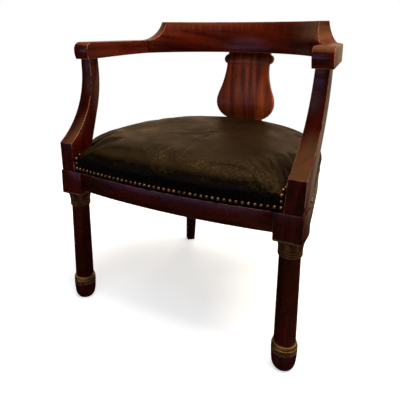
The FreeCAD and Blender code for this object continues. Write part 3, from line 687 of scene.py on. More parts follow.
def makeCapital():
    s = capitalSettings
    bore, bellLow = s["bore"], s["low"] + s["rings"] * s["ringPitch"]
    bell = s["bellTop"] - bellLow

    def flared(t):
        return s["neck"] + s["flare"] * t ** 1.25

    profile = [(bore, s["low"])]
    for ring in range(s["rings"]):
        for share, out in s["ringShape"]:
            profile.append((bore + out, s["low"] + (ring + share) * s["ringPitch"]))
    for step in range(s["bellSteps"] + 1):
        t = step / s["bellSteps"]
        profile.append((bore + flared(t), bellLow + bell * (0.02 + 0.98 * t)))
    profile.append((bore, s["bellTop"]))
    shell = turnShell("capitalBell", legSpot, profile, s["sides"])
    closeShell(shell, True)

    def leafRelief(reach, turn, z):         # upright lance leaves in low relief
        t = (z - bellLow) / bell
        if reach < bore + s["skin"] or not 0.04 < t < 0.99:
            return 0.0
        side = abs((turn * s["leaves"]) % 1.0 - 0.5) * 2
        leaf = max(0.0, 1 - (1 - side) / max(0.15, 1 - 0.75 * t ** 1.6)) if t < 0.9 else 0.0
        return s["leafRelief"] * (min(leaf * 1.6, 1.0) * 0.7 + 0.35 * hump(side, 1.0, 0.07))

    def bellHeight(reach, z):
        if z < bellLow:
            return (reach - bore - s["skin"]) / 0.0009
        return 0.38 + 0.5 * (reach - bore - flared((z - bellLow) / bell)) / s["leafRelief"]

    carve(shell, leafRelief)
    clearSelection()
    bpy.ops.mesh.primitive_cube_add(size=1, location=(*legSpot, s["abacusMiddle"]))
    abacus = bpy.context.object
    abacus.scale = (s["abacus"], s["abacus"], s["abacusHeight"])
    fixPlace()
    with editing(abacus):
        bpy.ops.mesh.select_mode(type="FACE")
        bpy.ops.mesh.inset(thickness=0.0004, depth=0.0)
    useModifier(abacus, "BEVEL", width=0.0005, segments=2, limit_method="ANGLE")
    dress(shell, capitalBronze)
    dress(abacus, collarBrass)
    markRaised(shell, bellHeight)
    markRaised(abacus, lambda reach, z: 0.55)
    return joined("capitalRight", shell, abacus)


collarSettings = {
    "sides": 144, "bore": 0.0247, "low": 0.0442, "bandTop": 0.0575, "top": 0.066,
    "band": 0.0292, "bandRows": 12, "zigzags": 24, "cut": 0.0016,
    "bead": 0.0270, "beadOut": 0.0017, "beadUp": 0.0021, "beadMiddle": 0.0028,
}


def makeCollar():
    s = collarSettings
    low, bandTop, top = s["low"], s["bandTop"], s["top"]
    profile = [(s["bore"], low), (0.0285, low)]
    for row in range(s["bandRows"] + 1):
        profile.append((s["band"], low + 0.0004 + (bandTop - low - 0.0008) * row / s["bandRows"]))
    profile += [(0.0286, bandTop), (0.0272, bandTop + 0.0004)]
    for turn in range(7):                   # round bead over the band
        angle = math.pi * turn / 6
        profile.append((s["bead"] + s["beadOut"] * math.sin(angle),
                        bandTop + s["beadMiddle"] - s["beadUp"] * math.cos(angle)))
    profile += [(0.0262, top - 0.0030), (0.0269, top - 0.0026), (0.0269, top - 0.0004), (0.0264, top),
                (s["bore"], top)]
    piece = turnShell("collarRight", legSpot, profile, s["sides"])
    closeShell(piece, True)

    def zigzag(reach, turn, z):             # cut into the band
        t = (z - low) / (bandTop - low)
        if reach < s["band"] - 0.0003 or not 0.12 < t < 0.88:
            return 0.0
        line = 0.25 + abs((turn * s["zigzags"]) % 1.0 - 0.5)
        return -s["cut"] * hump(t, line, 0.11)

    def collarHeight(reach, z):
        if z < bandTop:
            return 0.08 + 0.75 * (reach - s["band"] + s["cut"]) / s["cut"]
        if z < top - 0.0032:
            return 0.6 * (reach - 0.0272) / 0.0014
        return 1.0

    carve(piece, zigzag)
    markRaised(piece, collarHeight)
    return piece


toeProfile = (                  # (radius, height)
    (0.0165, 0.0), (0.0188, 0.0004), (0.0205, 0.0018), (0.0228, 0.005), (0.0252, 0.0095), (0.0266, 0.0145),
    (0.0276, 0.021), (0.0283, 0.028), (0.0287, 0.035), (0.0288, 0.0395), (0.0284, 0.0424), (0.0272, 0.0438),
    (0.0230, 0.0439))


def makeToe():
    piece = turnShell("toeRight", legSpot, toeProfile, 72)
    closeShell(piece, False)
    return piece


for piece, otherName, slotName, node, finish in (
        (makeCapital(), "capitalLeft", "brass", "leg_capitals", None),
        (makeCollar(), "collarLeft", "brass", "leg_collars", collarBrass),
        (makeToe(), "toeLeft", "mahogany", "leg_toes", woodTones["showWood"])):
    smoothByAngle(piece, 40)
    other = mirroredCopy(piece, otherName)
    smoothByAngle(other, 40)
    for one in (piece, other):
        if slotName == "mahogany":
            one.data.attributes.new("arris", "FLOAT", "FACE")
            runGrain(one, upright, 0.0, (14.0, 0.2, 0.0))
        if finish:
            dress(one, finish)
        settle(one, slotName, node)
for nodeName, material in (("corner_screws", screwSteel), ("yoke_tongues", innerBeech())):
    for slot in frame["nodes"][nodeName].material_slots:
        slot.material = material
print("brass mounts and toes done")


# leather seat

seatSettings = {
    "around": 560,              # points round the edge
    "edgeLow": 0.3780,
    "face": 0.0007,             # how far the tight leather stands inside the rail's face
    "bulge": 0.0035,
    "bulgeLow": 0.394,
    "bulgeHeight": 0.414,
    "wall": (0.3825, 0.3870, 0.3915, 0.397, 0.4015, 0.4055, 0.410),     # heights between edge and bulge
    "crown": 0.462,
    "dome": 0.004,
    "lean": 0.0055,
    "middle": 0.245,            # depth of the crown's middle
    "reach": 0.110,
    "fullness": 2.6,
    "rollSteps": 26, "topSteps": 18,
    "thickness": 0.0019,
    "baseHeight": 0.4014,
    "postGap": 0.0009,
    "cornerSide": 0.03,         # the unnotched outline's rounded corner
    "cornerDepth": 0.045,
}


def sideX(depth, inset):
    radius = chair["seatRadius"] - inset
    turn = chair["seatFlare"]
    if depth < chair["seatCentre"] + radius * math.sin(turn):
        return radius / math.cos(turn) + math.tan(turn) * (chair["seatCentre"] - depth)
    return math.sqrt(max(radius ** 2 - (depth - chair["seatCentre"]) ** 2, 0.0))


def bowDepth(x, inset):
    centre = chair["bowRadius"] - chair["bowReach"]
    return centre - math.sqrt((chair["bowRadius"] - inset) ** 2 - x ** 2)


postSettings = {"splayOut": 0.0208, "splayUp": 0.2826, "rear": 0.0600, "sweepFrom": (0.0595, 0.3898),
                "sweep": 2.39, "corner": 0.066, "pull": 0.055}


def postInnerX(z):
    s = postSettings
    return chair["postInner"] + s["splayOut"] * max(z - chair["railShow"], 0) / s["splayUp"]


def postRearDepth(z):
    depth, height = postSettings["sweepFrom"]
    return max(postSettings["rear"], depth + (z - height) / postSettings["sweep"])


def shares(count):
    return [step / count for step in range(count)]


def edgeLine(inset, z, notched=True):
    # half of the edge in plan, from the front middle round the right side to the back middle
    s = seatSettings
    side, deep = s["cornerSide"], s["cornerDepth"] + inset
    end = postInnerX(z) - s["postGap"] if notched else sideX(0.012, inset) - side
    points = [(end * t, bowDepth(end * t, inset)) for t in shares(40)]
    a = (end, bowDepth(end, inset))
    if notched:
        deep = postRearDepth(z) + s["postGap"]
        outer = sideX(deep, inset)
        points += [(end, a[1] + (deep - a[1]) * t) for t in shares(14)]
        points += [(end + (outer - end) * t, deep) for t in shares(6)]
    else:
        b, c = (end + side, 0.008 + inset), (sideX(deep, inset), deep)
        for t in shares(20):
            points.append(tuple(a[i] * (1 - t) ** 2 + 2 * b[i] * t * (1 - t) + c[i] * t * t for i in (0, 1)))
    radius = chair["seatRadius"] - inset
    bend = chair["seatCentre"] + radius * math.sin(chair["seatFlare"])
    for t in shares(40):
        depth = deep + (bend - deep) * t
        points.append((sideX(depth, inset), depth))
    for step in range(101):
        angle = (math.pi / 2 - chair["seatFlare"]) * (1 - step / 100)
        points.append((radius * math.sin(angle), chair["seatCentre"] + radius * math.cos(angle)))
    return points


def evenly(points, count):
    lengths = [0.0]
    for a, b in zip(points, points[1:]):
        lengths.append(lengths[-1] + math.dist(a, b))
    spaced = []
    index = 0
    for step in range(count + 1):
        target = lengths[-1] * step / count
        while index < len(points) - 2 and lengths[index + 1] < target:
            index += 1
        span = lengths[index + 1] - lengths[index]
        t = 0 if span < 1e-9 else (target - lengths[index]) / span
        spaced.append(tuple(p + (q - p) * t for p, q in zip(points[index], points[index + 1])))
    return spaced


def roundedOff(points, passes):
    for turn in range(passes):
        points = [points[0]] + [
            tuple((points[i - 1][k] + 2 * points[i][k] + points[i + 1][k]) / 4 for k in (0, 1))
            for i in range(1, len(points) - 1)] + [points[-1]]
    return points


def edgeRing(inset, z, count, passes=2, notched=True):
    # both halves, going round from the front middle by the right side
    half = roundedOff(evenly(edgeLine(inset, z, notched), count), passes)
    return half + [(-x, depth) for x, depth in half[1:-1]][::-1]


def nearPost(x, depth):
    across = abs(x) - chair["postInner"]
    toInner = math.hypot(max(-across, 0.0), max(depth - postSettings["corner"], 0.0))
    return 1 - smoothStep(0.0, postSettings["pull"], toInner)


def seatLean(x, depth):
    # the stuffing has shifted: fuller at the back on one side than on the other
    return -seatSettings["lean"] * (x / chair["seatRadius"]) * smoothStep(0.15, 0.42, depth)


creaseLines = (                 # (from, to, width, depth), in plan
    ((0.264, 0.060), (0.190, 0.130), 0.012, 0.0016),
    ((0.262, 0.036), (0.175, 0.062), 0.011, 0.0017),
    ((0.255, 0.020), (0.140, 0.018), 0.008, 0.0014),
    ((0.272, 0.085), (0.235, 0.170), 0.010, 0.0013),
    ((-0.264, 0.060), (-0.190, 0.120), 0.012, 0.0013),
    ((-0.262, 0.040), (-0.180, 0.058), 0.010, 0.0012),
    ((-0.255, 0.022), (-0.150, 0.020), 0.008, 0.0009),
    ((0.120, 0.020), (-0.060, 0.012), 0.010, 0.0006),
    ((0.060, 0.470), (0.120, 0.420), 0.008, 0.0012),
    ((-0.060, 0.470), (-0.130, 0.420), 0.008, 0.0012),
)


def creaseDepth(x, depth):
    total = 0.0
    for (ax, ad), (bx, bd), width, deep in creaseLines:
        run = (bx - ax) ** 2 + (bd - ad) ** 2
        t = min(max(((x - ax) * (bx - ax) + (depth - ad) * (bd - ad)) / run, 0.0), 1.0)
        away = math.hypot(x - ax - (bx - ax) * t, depth - ad - (bd - ad) * t)
        total += deep * (1 - t ** 2) * (hump(away, 0.0, width) - 0.5 * hump(away, 1.8 * width, width))
    return total


def seatRings():
    s = seatSettings
    count = s["around"] // 2

    def level(line, z):
        return [Vector((x, atDepth(depth), z)) for x, depth in line]

    inner = edgeRing(s["face"] + s["thickness"], s["baseHeight"], count)
    rings = [level(inner, z) for z in (s["baseHeight"], s["edgeLow"] + 0.0004)]
    rings.append(level(edgeRing(s["face"] + s["thickness"] / 2, s["edgeLow"], count), s["edgeLow"]))
    for z in (s["edgeLow"] + 0.0006, *s["wall"], s["bulgeHeight"]):
        swell = smoothStep(s["bulgeLow"], s["bulgeHeight"], z)
        tight = edgeRing(s["face"], z, count)
        wide = edgeRing(s["face"] - (s["face"] + s["bulge"]) * swell, z, count)
        points = []
        for (x, depth), (wideX, wideDepth) in zip(tight, wide):
            free = 1 - smoothStep(0.2, 0.9, nearPost(x, depth))
            points.append((x + (wideX - x) * free, depth + (wideDepth - depth) * free))
        rings.append(level(points, z))
    edge = rings[-1]
    core = edgeRing(s["reach"], 0.46, count, 60, False)
    power = 2 / s["fullness"]
    for step in range(1, s["rollSteps"] + 1):       # the roll from the edge up to the crown
        angle = math.pi / 2 * step / s["rollSteps"]
        inset = 1 - math.cos(angle) ** power if step < s["rollSteps"] else 1.0
        up = math.sin(angle) ** power
        points = []
        for start, (coreX, coreDepth) in zip(edge, core):
            pull = nearPost(start.x, start.y - chair["frontY"])
            rise = up * (1 - pull) + min(1.0, 1.7 * inset ** 0.85) * up ** 0.4 * pull
            points.append(Vector((start.x + (coreX - start.x) * inset,
                                  start.y + (atDepth(coreDepth) - start.y) * inset,
                                  start.z + (s["crown"] + seatLean(coreX, coreDepth) - start.z) * rise)))
        rings.append(points)
    middle = Vector((0.0, atDepth(s["middle"]), s["crown"] + s["dome"]))
    top = rings[-1]
    for step in range(1, s["topSteps"]):
        t = 1 - step / s["topSteps"]
        rings.append([Vector((middle.x + (place.x - middle.x) * t, middle.y + (place.y - middle.y) * t,
                              place.z + (middle.z - place.z) * (1 - t * t))) for place in top])
    return rings, middle


def skinned(name, rings, middle, under=None):
    # faces between the rings, the last ring closed at its middle and the first one too if it has one
    build = bmesh.new()
    rows = [[build.verts.new(place) for place in ring] for ring in rings]
    pairs = [(i, (i + 1) % len(rows[0])) for i in range(len(rows[0]))]
    for lower, upper in zip(rows, rows[1:]):
        for i, j in pairs:
            build.faces.new((lower[i], lower[j], upper[j], upper[i]))
    hub = build.verts.new(middle)
    base = build.verts.new(under) if under else None
    for i, j in pairs:
        build.faces.new((rows[-1][i], rows[-1][j], hub))
        if under:
            build.faces.new((rows[0][j], rows[0][i], base))
    mesh = bpy.data.meshes.new(name)
    build.to_mesh(mesh)
    build.free()
    return newObject(name, mesh)


def makeSeat():
    rings, middle = seatRings()
    piece = skinned("leatherSeat", rings, middle, (0, middle.y, seatSettings["baseHeight"]))
    faceOutward(piece)
    return piece


seat = makeSeat()
print("seat formed,", len(seat.data.polygons), "faces")

stuffSettings = {"frames": 18, "cap": 0.004, "heldBelow": 0.412, "freeAbove": 0.424}
clothSettings = {
    "quality": 6, "mass": 0.6, "tension_stiffness": 60, "compression_stiffness": 40, "shear_stiffness": 30,
    "bending_stiffness": 4.0, "vertex_group_mass": "nailedEdge", "pin_stiffness": 1.0, "use_pressure": True,
    "uniform_pressure_force": 3.0, "shrink_min": -0.012,
}


def stuffSeat(piece):
    # the leather is pinned at the rails and pressed from below by the stuffing
    s = stuffSettings
    vertices = piece.data.vertices
    before = [vertex.co.copy() for vertex in vertices]
    group = piece.vertex_groups.new(name=clothSettings["vertex_group_mass"])
    for vertex in vertices:
        group.add([vertex.index], 1 - smoothStep(s["heldBelow"], s["freeAbove"], vertex.co.z), "REPLACE")
    takeUp(piece)
    cloth = piece.modifiers.new("Cloth", "CLOTH")
    for key, value in clothSettings.items():
        setattr(cloth.settings, key, value)
    cloth.settings.effector_weights.gravity = 0.0
    cloth.collision_settings.use_collision = False
    cloth.point_cache.frame_start = 1
    cloth.point_cache.frame_end = s["frames"]
    for number in range(1, s["frames"] + 1):
        bpy.context.scene.frame_set(number)
    bpy.ops.object.modifier_apply(modifier=cloth.name)
    for vertex, start in zip(piece.data.vertices, before):
        move = vertex.co - start
        if move.length > s["cap"]:
            move *= s["cap"] / move.length
        vertex.co = start + move
    piece.vertex_groups.clear()
    bpy.context.scene.frame_set(1)


stuffSeat(seat)
print("seat stuffed")


def drift(co, scale, layer):
    return noise.noise(Vector((co.x * scale, co.y * scale, layer)))


creaseSettings = {"from": 0.416, "full": 0.424, "drift": 0.0012, "driftFrom": 0.425, "driftFull": 0.45}


def creaseSeat(piece):
    s = creaseSettings
    for vertex in piece.data.vertices:
        if vertex.co.z < s["from"]:
            continue
        fade = smoothStep(s["from"], s["full"], vertex.co.z)
        vertex.co.z -= creaseDepth(vertex.co.x, vertex.co.y - chair["frontY"]) * fade
        full = smoothStep(s["driftFrom"], s["driftFull"], vertex.co.z)
        vertex.co.z += s["drift"] * drift(vertex.co, 11, 3.7) * full


creaseSeat(seat)
smoothByAngle(seat, 60)


def makeLeatherGroup():
    group, start, end = newGroup("leatherGrain", {"Place": None}, ("Pebble", "Creases"))
    place = start["Place"]
    cells = putNode(group, "ShaderNodeTexVoronoi", feature="SMOOTH_F1", Smoothness=0.6, Scale=520.0,
                    Vector=place)
    bent = putNode(group, "ShaderNodeVectorMath", operation="SCALE", Scale=0.03,
                   Vector=noiseNode(group, place, 30.0, 3.0))
    moved = vectorNode(group, "ADD", place, bent.outputs[0])
    cracks = putNode(group, "ShaderNodeTexVoronoi", feature="DISTANCE_TO_EDGE", Scale=75.0, Vector=moved[0])
    lines = ramp(group, cracks.outputs["Distance"], (0.0, 1.0), (0.05, 0.0))
    patch = ramp(group, noiseNode(group, place, 9.0, 2.0), (0.5, 0.0), (0.65, 1.0))
    feed(group, end, {"Pebble": cells.outputs["Distance"], "Creases": times(group, lines, patch)})
    return group


leatherGroup = makeLeatherGroup()


def leather(name):
    material, tree, shader = newMaterial(name)
    place = objectPlace(tree)
    grain = useGroup(tree, leatherGroup, Place=place)
    rub = useGroup(tree, rubGroup, Place=place, Low=0.26, High=0.52)
    scuff = noiseNode(tree, stretched(tree, place, (0.5, 1, 1.5)), 330.0, 4.0, 0.65)
    worn = times(tree, ramp(tree, scuff, (0.54, 0.0), (0.62, 1.0)), marked(tree, "rubbed"))
    patches = ramp(tree, noiseNode(tree, place, 6.0, 4.0, 0.6), (0.35, 0.0), (0.65, 1.0))
    black = mixColour(tree, patches, (0.0009, 0.0007, 0.0004, 1), (0.0022, 0.0016, 0.0010, 1))
    topLitBrown = mixColour(tree, patches, (0.0036, 0.0024, 0.0011, 1), (0.0112, 0.0072, 0.0033, 1))
    # upward faces get the paler brown: painted top light
    colour = mixColour(tree, marked(tree, "faded"), black, topLitBrown)
    colour = mixColour(tree, times(tree, grain["Creases"], 0.4), colour, (0.030, 0.022, 0.013, 1))
    colour = mixColour(tree, worn, colour, (0.10, 0.062, 0.026, 1))
    feed(tree, shader, {"Base Color": colour, "Roughness": rub["Roughness"],
                        "Specular IOR Level": 0.12, "Specular Tint": (1.0, 0.8, 0.58, 1)})
    height = plus(tree, times(tree, grain["Pebble"], 0.5), times(tree, grain["Creases"], -0.6))
    bumpFrom(tree, shader, height, 0.5, 0.0010)
    return material


def paintedTopLightAt(vertex):
    # painted top light: faces that point up are painted paler brown than the black front and sides
    return smoothStep(0.58, 0.90, vertex.normal.z) * smoothStep(0.415, 0.435, vertex.co.z)


def rubbedAt(vertex):
    # the nap is worn through along the front shoulder and at the corner by the nearer post
    x, depth, z = vertex.co.x, vertex.co.y - chair["frontY"], vertex.co.z
    stray = drift(vertex.co, 17, 0.4)
    thin = 0.75 + 0.9 * drift(vertex.co, 31, 7.1)
    front = hump(depth, 0.013 + 0.016 * stray, 0.020) * smoothStep(0.42, 0.44, z)
    front *= max(thin, 0.0) * (0.2 + 0.8 * hump(x, 0.07, 0.13))
    corner = hump(x, 0.235, 0.05) * hump(depth, 0.03, 0.04) * smoothStep(0.40, 0.42, z)
    return min(1.0, 0.7 * front + 0.4 * corner + 0.03)


mark(seat, "faded", paintedTopLightAt)
mark(seat, "rubbed", rubbedAt)
dress(seat, leather("leatherWorn"))
settle(seat, "leather", "leather_cover", "seat_stuffing")
print("seat done")


# nails

nailSettings = {
    "radius": 0.0040, "height": 0.0030, "rows": 4, "sides": 10, "sink": 0.0001,
    "pitch": 0.0133, "line": 0.387, "wobble": 0.10, "vary": 0.05,
    "postLine": 0.0055, "postStart": 0.016, "postPitch": 0.0155, "postCount": 4,
    "sideStart": 0.0605,
}


def makeNail():
    s = nailSettings
    profile = []
    for step in range(s["rows"]):
        angle = math.pi / 2 * step / s["rows"]
        profile.append((s["radius"] * math.cos(angle), s["height"] * math.sin(angle)))
    nail = turnShell("nailHead", (0, 0), profile, s["sides"])
    last = profile[-1][1]
    takeUp(nail)
    bpy.ops.object.mode_set(mode="EDIT")
    bpy.ops.mesh.select_all(action="DESELECT")
    bpy.ops.object.mode_set(mode="OBJECT")
    for edge in nail.data.edges:
        edge.select = all(abs(nail.data.vertices[i].co.z - last) < 1e-6 for i in edge.vertices)
    bpy.ops.object.mode_set(mode="EDIT")
    bpy.ops.mesh.select_mode(type="EDGE")
    bpy.ops.mesh.extrude_edges_move(TRANSFORM_OT_translate={"value": (0, 0, s["height"] - last)})
    bpy.ops.mesh.merge(type="CENTER")
    closeShell(nail, False)
    smoothByAngle(nail, 50)
    return nail


def driven(nail, name, places):
    # each nail is a copy of the first, turned to stand on the leather
    s = nailSettings
    copies = []
    for index, (place, outward) in enumerate(places):
        head = newObject(name + str(index), nail.data.copy())
        spots = [place * 90 + Vector(step) for step in ((0, 0, 0), (5, 0, 0), (0, 5, 0))]
        wobble = Vector([noise.noise(spot) for spot in spots])
        facing = (outward + s["wobble"] * wobble).normalized()
        turn = facing.to_track_quat("Z", "Y").to_matrix().to_4x4()
        size = 1 + s["vary"] * wobble.x
        seated = Matrix.Translation(place - outward * s["sink"])
        head.data.transform(seated @ turn @ Matrix.Diagonal((size, size, 1, 1)))
        copies.append(head)
    return joined(name, *copies)


def frontNailPlaces():
    s = nailSettings
    half = chair["postInner"] - s["radius"] - 0.0015
    count = round(2 * half / s["pitch"])
    centre = atDepth(chair["bowRadius"] - chair["bowReach"])
    places = []

    def nailAt(x, z):
        spot = Vector((x, atDepth(bowDepth(x, seatSettings["face"])), z))
        places.append((spot, Vector((x, spot.y - centre, 0)).normalized()))

    for index in range(count + 1):
        nailAt(-half + 2 * half * index / count, s["line"])
    for sign in (-1, 1):
        for step in (1, 2):
            nailAt(sign * half, s["line"] + step * s["pitch"])
        for step in range(s["postCount"]):  # along the post's inner face, on the leather
            spot = Vector((sign * (chair["postInner"] - s["postLine"]),
                           atDepth(s["postStart"] + s["postPitch"] * step), 0.6))
            place, normal = seat.ray_cast(spot, Vector((0, 0, -1)))[1:3]
            places.append((place, (normal + Vector((-sign * 0.3, 0, 0.5))).normalized()))
    return places


def sideNailPlaces():
    s = nailSettings
    radius = chair["seatRadius"] - seatSettings["face"]
    turn = chair["seatFlare"]
    startDepth = s["sideStart"] + 2 * s["radius"]
    bend = chair["seatCentre"] + radius * math.sin(turn)
    straight = (bend - startDepth) / math.cos(turn)
    length = straight + radius * (math.pi / 2 - turn)
    count = round(length / s["pitch"])
    places = []
    for index in range(count + 1):
        run = index * length / count
        if run < straight:
            depth = startDepth + run * math.cos(turn)
            spot = Vector((sideX(depth, seatSettings["face"]), atDepth(depth), s["line"]))
            outward = Vector((math.cos(turn), math.sin(turn), 0))
        else:
            angle = math.pi / 2 - turn - (run - straight) / radius
            outward = Vector((math.sin(angle), math.cos(angle), 0))
            spot = Vector((radius * outward.x, atDepth(chair["seatCentre"] + radius * outward.y), s["line"]))
        places.append((spot, outward))
        if index < count:
            places.append((Vector((-spot.x, spot.y, spot.z)), Vector((-outward.x, outward.y, 0))))
    return places


nail = makeNail()
for name, node, places in (("frontNails", "front_nails", frontNailPlaces()),
                           ("sideNails", "side_nails", sideNailPlaces())):
    piece = driven(nail, name, places)
    dress(piece, nailBrass)
    settle(piece, "brass", node)
bpy.data.objects.remove(nail)
print("nails done")


# hessian and webbing, seen from below

def makeWeaveGroup():
    group, start, end = newGroup("openWeave", {"Place": None, "Threads": 600.0}, ("Height", "Shade"))
    scaled = putNode(group, "ShaderNodeVectorMath", operation="SCALE", Vector=start["Place"],
                     Scale=start["Threads"])
    warp, weft = [putNode(group, "ShaderNodeTexWave", bands_direction=way, Scale=0.5, Distortion=1.2,
                          Detail=2.0, Vector=scaled.outputs[0]).outputs["Fac"] for way in ("X", "Y")]
    height = larger(group, warp, weft)
    slubs = noiseNode(group, stretched(group, start["Place"], (60, 400, 60)), 1.0, 3.0)
    # the weave is painted darker where it lies low between the threads, a painted shade; the slubs vary the
    # thread tone
    shade = plus(group, times(group, height, 0.6), times(group, slubs, 0.4))
    feed(group, end, {"Height": height, "Shade": shade})
    return group


weaveGroup = makeWeaveGroup()


def cloth(name, dark, pale, threads):
    material, tree, shader = newMaterial(name)
    weave = useGroup(tree, weaveGroup, Place=objectPlace(tree), Threads=threads)
    # darker in the low parts of the weave: painted shade, with slub tone
    feed(tree, shader, {"Base Color": mixColour(tree, weave["Shade"], dark, pale), "Roughness": 0.9,
                        "Specular IOR Level": 0.2})
    bumpFrom(tree, shader, weave["Height"], 0.6, 0.0006)
    return material


hessianCloth = cloth("hessianPlain", (0.10, 0.06, 0.03, 1), (0.36, 0.25, 0.14, 1), 900.0)
webbingCloth = cloth("webbingJute", (0.07, 0.045, 0.025, 1), (0.26, 0.18, 0.10, 1), 1500.0)
hessianSettings = {"inset": 0.012, "level": 0.4005, "around": 160, "rows": 14, "sag": 0.0002,
                   "thickness": 0.0008}


def makeHessian():
    s = hessianSettings
    low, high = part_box("hessian_base")
    line = edgeRing(s["inset"], s["level"], s["around"])
    outer = [Vector((x, atDepth(depth), high.z)) for x, depth in line]
    centre = Vector((0.0, atDepth(seatSettings["middle"]), high.z))
    rings = [outer] + [[centre + (place - centre) * (1 - row / s["rows"]) for place in outer]
                       for row in range(1, s["rows"])]
    piece = skinned("hessianSheet", rings, centre)
    for vertex in piece.data.vertices:      # it sags a little between the straps
        vertex.co.z -= s["sag"] * (1 + drift(vertex.co, 25, 1.3))
    area = sum(polygon.area for polygon in piece.data.polygons)
    useModifier(piece, "SOLIDIFY", thickness=s["thickness"], offset=-1)
    faceOutward(piece)
    smoothByAngle(piece, 50)
    return piece, area, high - low


strapSettings = {"long": 40, "short": 10, "drop": 0.35, "thickness": 0.75, "edge": 0.0003}


def makeStraps(name, nodeName):
    # each strap of the node is redrawn as a woven band with soft edges
    s = strapSettings
    spare = newObject("strapGuide", frame["nodes"][nodeName].data.copy())
    with editing(spare):
        bpy.ops.mesh.remove_doubles(threshold=weldGap)
        bpy.ops.mesh.separate(type="LOOSE")
    guides = [thing for thing in bpy.context.scene.objects if thing.name.startswith("strapGuide")]
    straps = []
    for guide in guides:
        corners = [vertex.co for vertex in guide.data.vertices]
        low = Vector([min(corner[i] for corner in corners) for i in range(3)])
        high = Vector([max(corner[i] for corner in corners) for i in range(3)])
        size = high - low
        cuts = (s["long"], s["short"]) if size.x > size.y else (s["short"], s["long"])
        clearSelection()
        bpy.ops.mesh.primitive_grid_add(x_subdivisions=cuts[0], y_subdivisions=cuts[1], size=1,
                                        location=(low + high) / 2)
        strap = bpy.context.object
        strap.scale = (size.x, size.y, 1)
        fixPlace()
        strap.data.transform(Matrix.Translation((0, 0, -size.z * s["drop"])))
        useModifier(strap, "SOLIDIFY", thickness=size.z * s["thickness"], offset=1)
        useModifier(strap, "BEVEL", width=s["edge"], segments=2, limit_method="ANGLE",
                    angle_limit=math.radians(50))
        straps.append(strap)
    for guide in guides:
        bpy.data.objects.remove(guide)
    piece = joined(name, *straps)
    smoothByAngle(piece, 50)
    return piece


hessian, hessianArea, hessianSize = makeHessian()
dress(hessian, hessianCloth)
settle(hessian, "hessian", "hessian_base")
for name, nodeName in (("strapsLengthwise", "webbing_lengthwise"), ("strapsCrosswise", "webbing_crosswise")):
    straps = makeStraps(name, nodeName)
    dress(straps, webbingCloth)
    settle(straps, "webbing", nodeName)
print("webbing and hessian done")


# floor, light and camera

plainWhite = (1, 1, 1, 1)
stageSettings = {
    "floorHalf": 7.0,
    "floorColour": (0.88, 0.88, 0.88, 1),
    "shadowLift": 0.62,
    "plainReach": (0.9, 1.9),   # where the floor goes over to plain white
    "glossReach": (3.0, 4.6),   # and where it changes in reflections
    "backReach": (0.25, 0.95),  # nearer behind the chair, where its cheeks catch it
    "frontSpan": (-1.0, 0.2),
    "nearGloss": (0.022, 0.012, 0.008, 1),
    "frontGloss": (1.1, 1.6, 4.4, 1),
    "dimGloss": (0.16, 0.09, 0.07, 1),
    "backGloss": (0.42, 0.29, 0.18, 1),
    "windowWay": (-0.342, -0.940, 0.0),     # the window is ahead and to the left
    "windowSpan": (0.885, 0.955),
    "windowLow": (0.07, 0.17),
    "windowHigh": (0.37, 0.53),
    "windowTint": (0.55, 0.68, 1.0, 1),
    "worldLevel": 0.11,
    "worldColour": (1, 0.97, 0.93, 1),
    "roomSpan": (-0.35, 0.45),  # the room is darker at the front
    "roomLevel": (0.05, 0.6),
    "roomWarmth": (1.0, 0.64, 0.38, 1),
    "overhead": (0.62, 0.9),    # a warm patch right above, seen only in polish
    "overheadLevel": 2.1,
    "overheadTint": (1.0, 0.64, 0.25, 1),
}


def seenRays(tree):
    # camera, glossy and transmission rays together meet the white surroundings
    path = putNode(tree, "ShaderNodeLightPath").outputs
    camera, glossy = path["Is Camera Ray"], path["Is Glossy Ray"]
    return camera, glossy, larger(tree, larger(tree, camera, path["Is Transmission Ray"]), glossy)


def towardWindow(tree, vector):
    way = vectorNode(tree, "NORMALIZE", vector)[0]
    share = vectorNode(tree, "DOT_PRODUCT", way, stageSettings["windowWay"])["Value"]
    return spanNode(tree, share, *stageSettings["windowSpan"])


def setFloor():
    s = stageSettings
    clearSelection()
    bpy.ops.mesh.primitive_plane_add(size=2 * s["floorHalf"], location=(0, 0, 0))
    floor = bpy.context.object
    floor.name = "paleFloor"
    material, tree, shader = newMaterial("floorPale")
    camera, glossy, seen = seenRays(tree)
    place = objectPlace(tree)
    feed(tree, shader, {"Roughness": 0.9, "Specular IOR Level": 0.0,
                        "Base Color": mixColour(tree, glossy, s["floorColour"], s["nearGloss"])})
    away = vectorNode(tree, "LENGTH", place)["Value"]
    depth = putNode(tree, "ShaderNodeSeparateXYZ", Vector=place).outputs[1]
    front = spanNode(tree, times(tree, depth, -1.0), *s["frontSpan"])
    ahead = mixColour(tree, towardWindow(tree, place), s["dimGloss"], s["frontGloss"])
    farGloss = mixColour(tree, front, s["backGloss"], ahead)
    white = putNode(tree, "ShaderNodeEmission", Color=mixColour(tree, glossy, plainWhite, farGloss))
    lift = putNode(tree, "ShaderNodeEmission", Color=plainWhite, Strength=s["shadowLift"])
    lifted = fill(tree, putNode(tree, "ShaderNodeAddShader"), shader.outputs[0], lift.outputs[0])
    near = mixShaders(tree, camera, shader.outputs[0], lifted[0])   # lifted only where the camera sees it
    nearReach = spanNode(tree, away, *s["plainReach"])
    farReach = larger(tree, spanNode(tree, away, *s["glossReach"]), spanNode(tree, depth, *s["backReach"]))
    reach = mixColour(tree, glossy, nearReach, farReach)
    surface = mixShaders(tree, times(tree, reach, seen), near, white.outputs[0])
    feed(tree, tree.nodes["Material Output"], {"Surface": surface})
    dress(floor, material)


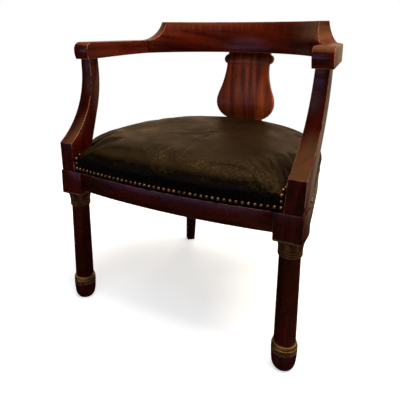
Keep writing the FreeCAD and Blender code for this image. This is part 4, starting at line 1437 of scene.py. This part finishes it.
def setWorld():
    s = stageSettings
    world = bpy.data.worlds.new("paleRoom")
    world.use_nodes = True
    tree = world.node_tree
    plain = tree.nodes["Background"]
    feed(tree, plain, {"Color": s["worldColour"], "Strength": s["worldLevel"]})
    camera, glossy, seen = seenRays(tree)
    way = putNode(tree, "ShaderNodeTexCoord").outputs["Generated"]
    split = putNode(tree, "ShaderNodeSeparateXYZ", Vector=way).outputs
    level = larger(tree, spanNode(tree, split[1], *s["roomSpan"], *s["roomLevel"]), camera)
    band = minus(tree, spanNode(tree, split[2], *s["windowLow"]), spanNode(tree, split[2], *s["windowHigh"]))
    window = times(tree, times(tree, towardWindow(tree, way), band), glossy)
    overhead = times(tree, spanNode(tree, split[2], *s["overhead"]), glossy)
    level = larger(tree, level, window)
    level = larger(tree, level, times(tree, overhead, s["overheadLevel"]))
    warmth = mixColour(tree, glossy, plainWhite, s["roomWarmth"])
    warmth = mixColour(tree, window, warmth, s["windowTint"])
    warmth = mixColour(tree, overhead, warmth, s["overheadTint"])
    white = putNode(tree, "ShaderNodeBackground", Color=warmth, Strength=level)
    surface = mixShaders(tree, seen, plain.outputs[0], white.outputs[0])
    feed(tree, tree.nodes["World Output"], {"Surface": surface})
    bpy.context.scene.world = world


lampSettings = (                # (name, place, aim, size, power, colour)
    ("topSoft", (0.75, 0.15, 2.4), (0, 0.0, 0.4), 2.0, 95.0, (1.0, 0.88, 0.73)),
    ("windowSoft", (0.2, -1.05, 2.3), (0, 0, 0.5), 1.1, 13.0, (0.62, 0.76, 1.0)),
    ("rearSoft", (-0.7, 1.9, 1.5), (0, 0, 0.45), 1.2, 14.0, (1.0, 0.9, 0.78)),
)


def setLamps():
    for name, place, aim, size, power, colour in lampSettings:
        lamp = bpy.data.lights.new(name, "AREA")
        lamp.shape = "SQUARE"
        lamp.size = size
        lamp.energy = power
        lamp.color = colour
        holder = newObject(name, lamp)
        holder.visible_glossy = False       # polish shows the room, not the lamps
        holder.location = place
        holder.rotation_euler = (Vector(aim) - Vector(place)).to_track_quat("-Z", "Y").to_euler()


cameraSettings = {"place": (0.48905, -1.07197, 0.73826), "down": 13.701, "turn": 28.569, "lens": 39.165,
                  "sensor": 36.0, "shift": (0.0404, -0.162)}


def setCamera():
    s = cameraSettings
    camera = bpy.data.cameras.new("photoCamera")
    camera.lens = s["lens"]
    camera.sensor_width = s["sensor"]
    camera.shift_x, camera.shift_y = s["shift"]
    holder = newObject("photoCamera", camera)
    holder.location = s["place"]
    holder.rotation_euler = (math.radians(90 - s["down"]), 0, math.radians(s["turn"]))
    bpy.context.scene.camera = holder


setFloor()
setWorld()
setLamps()
setCamera()
bpy.context.scene.view_settings.view_transform = "Standard"
print("stage, lamps and camera set")
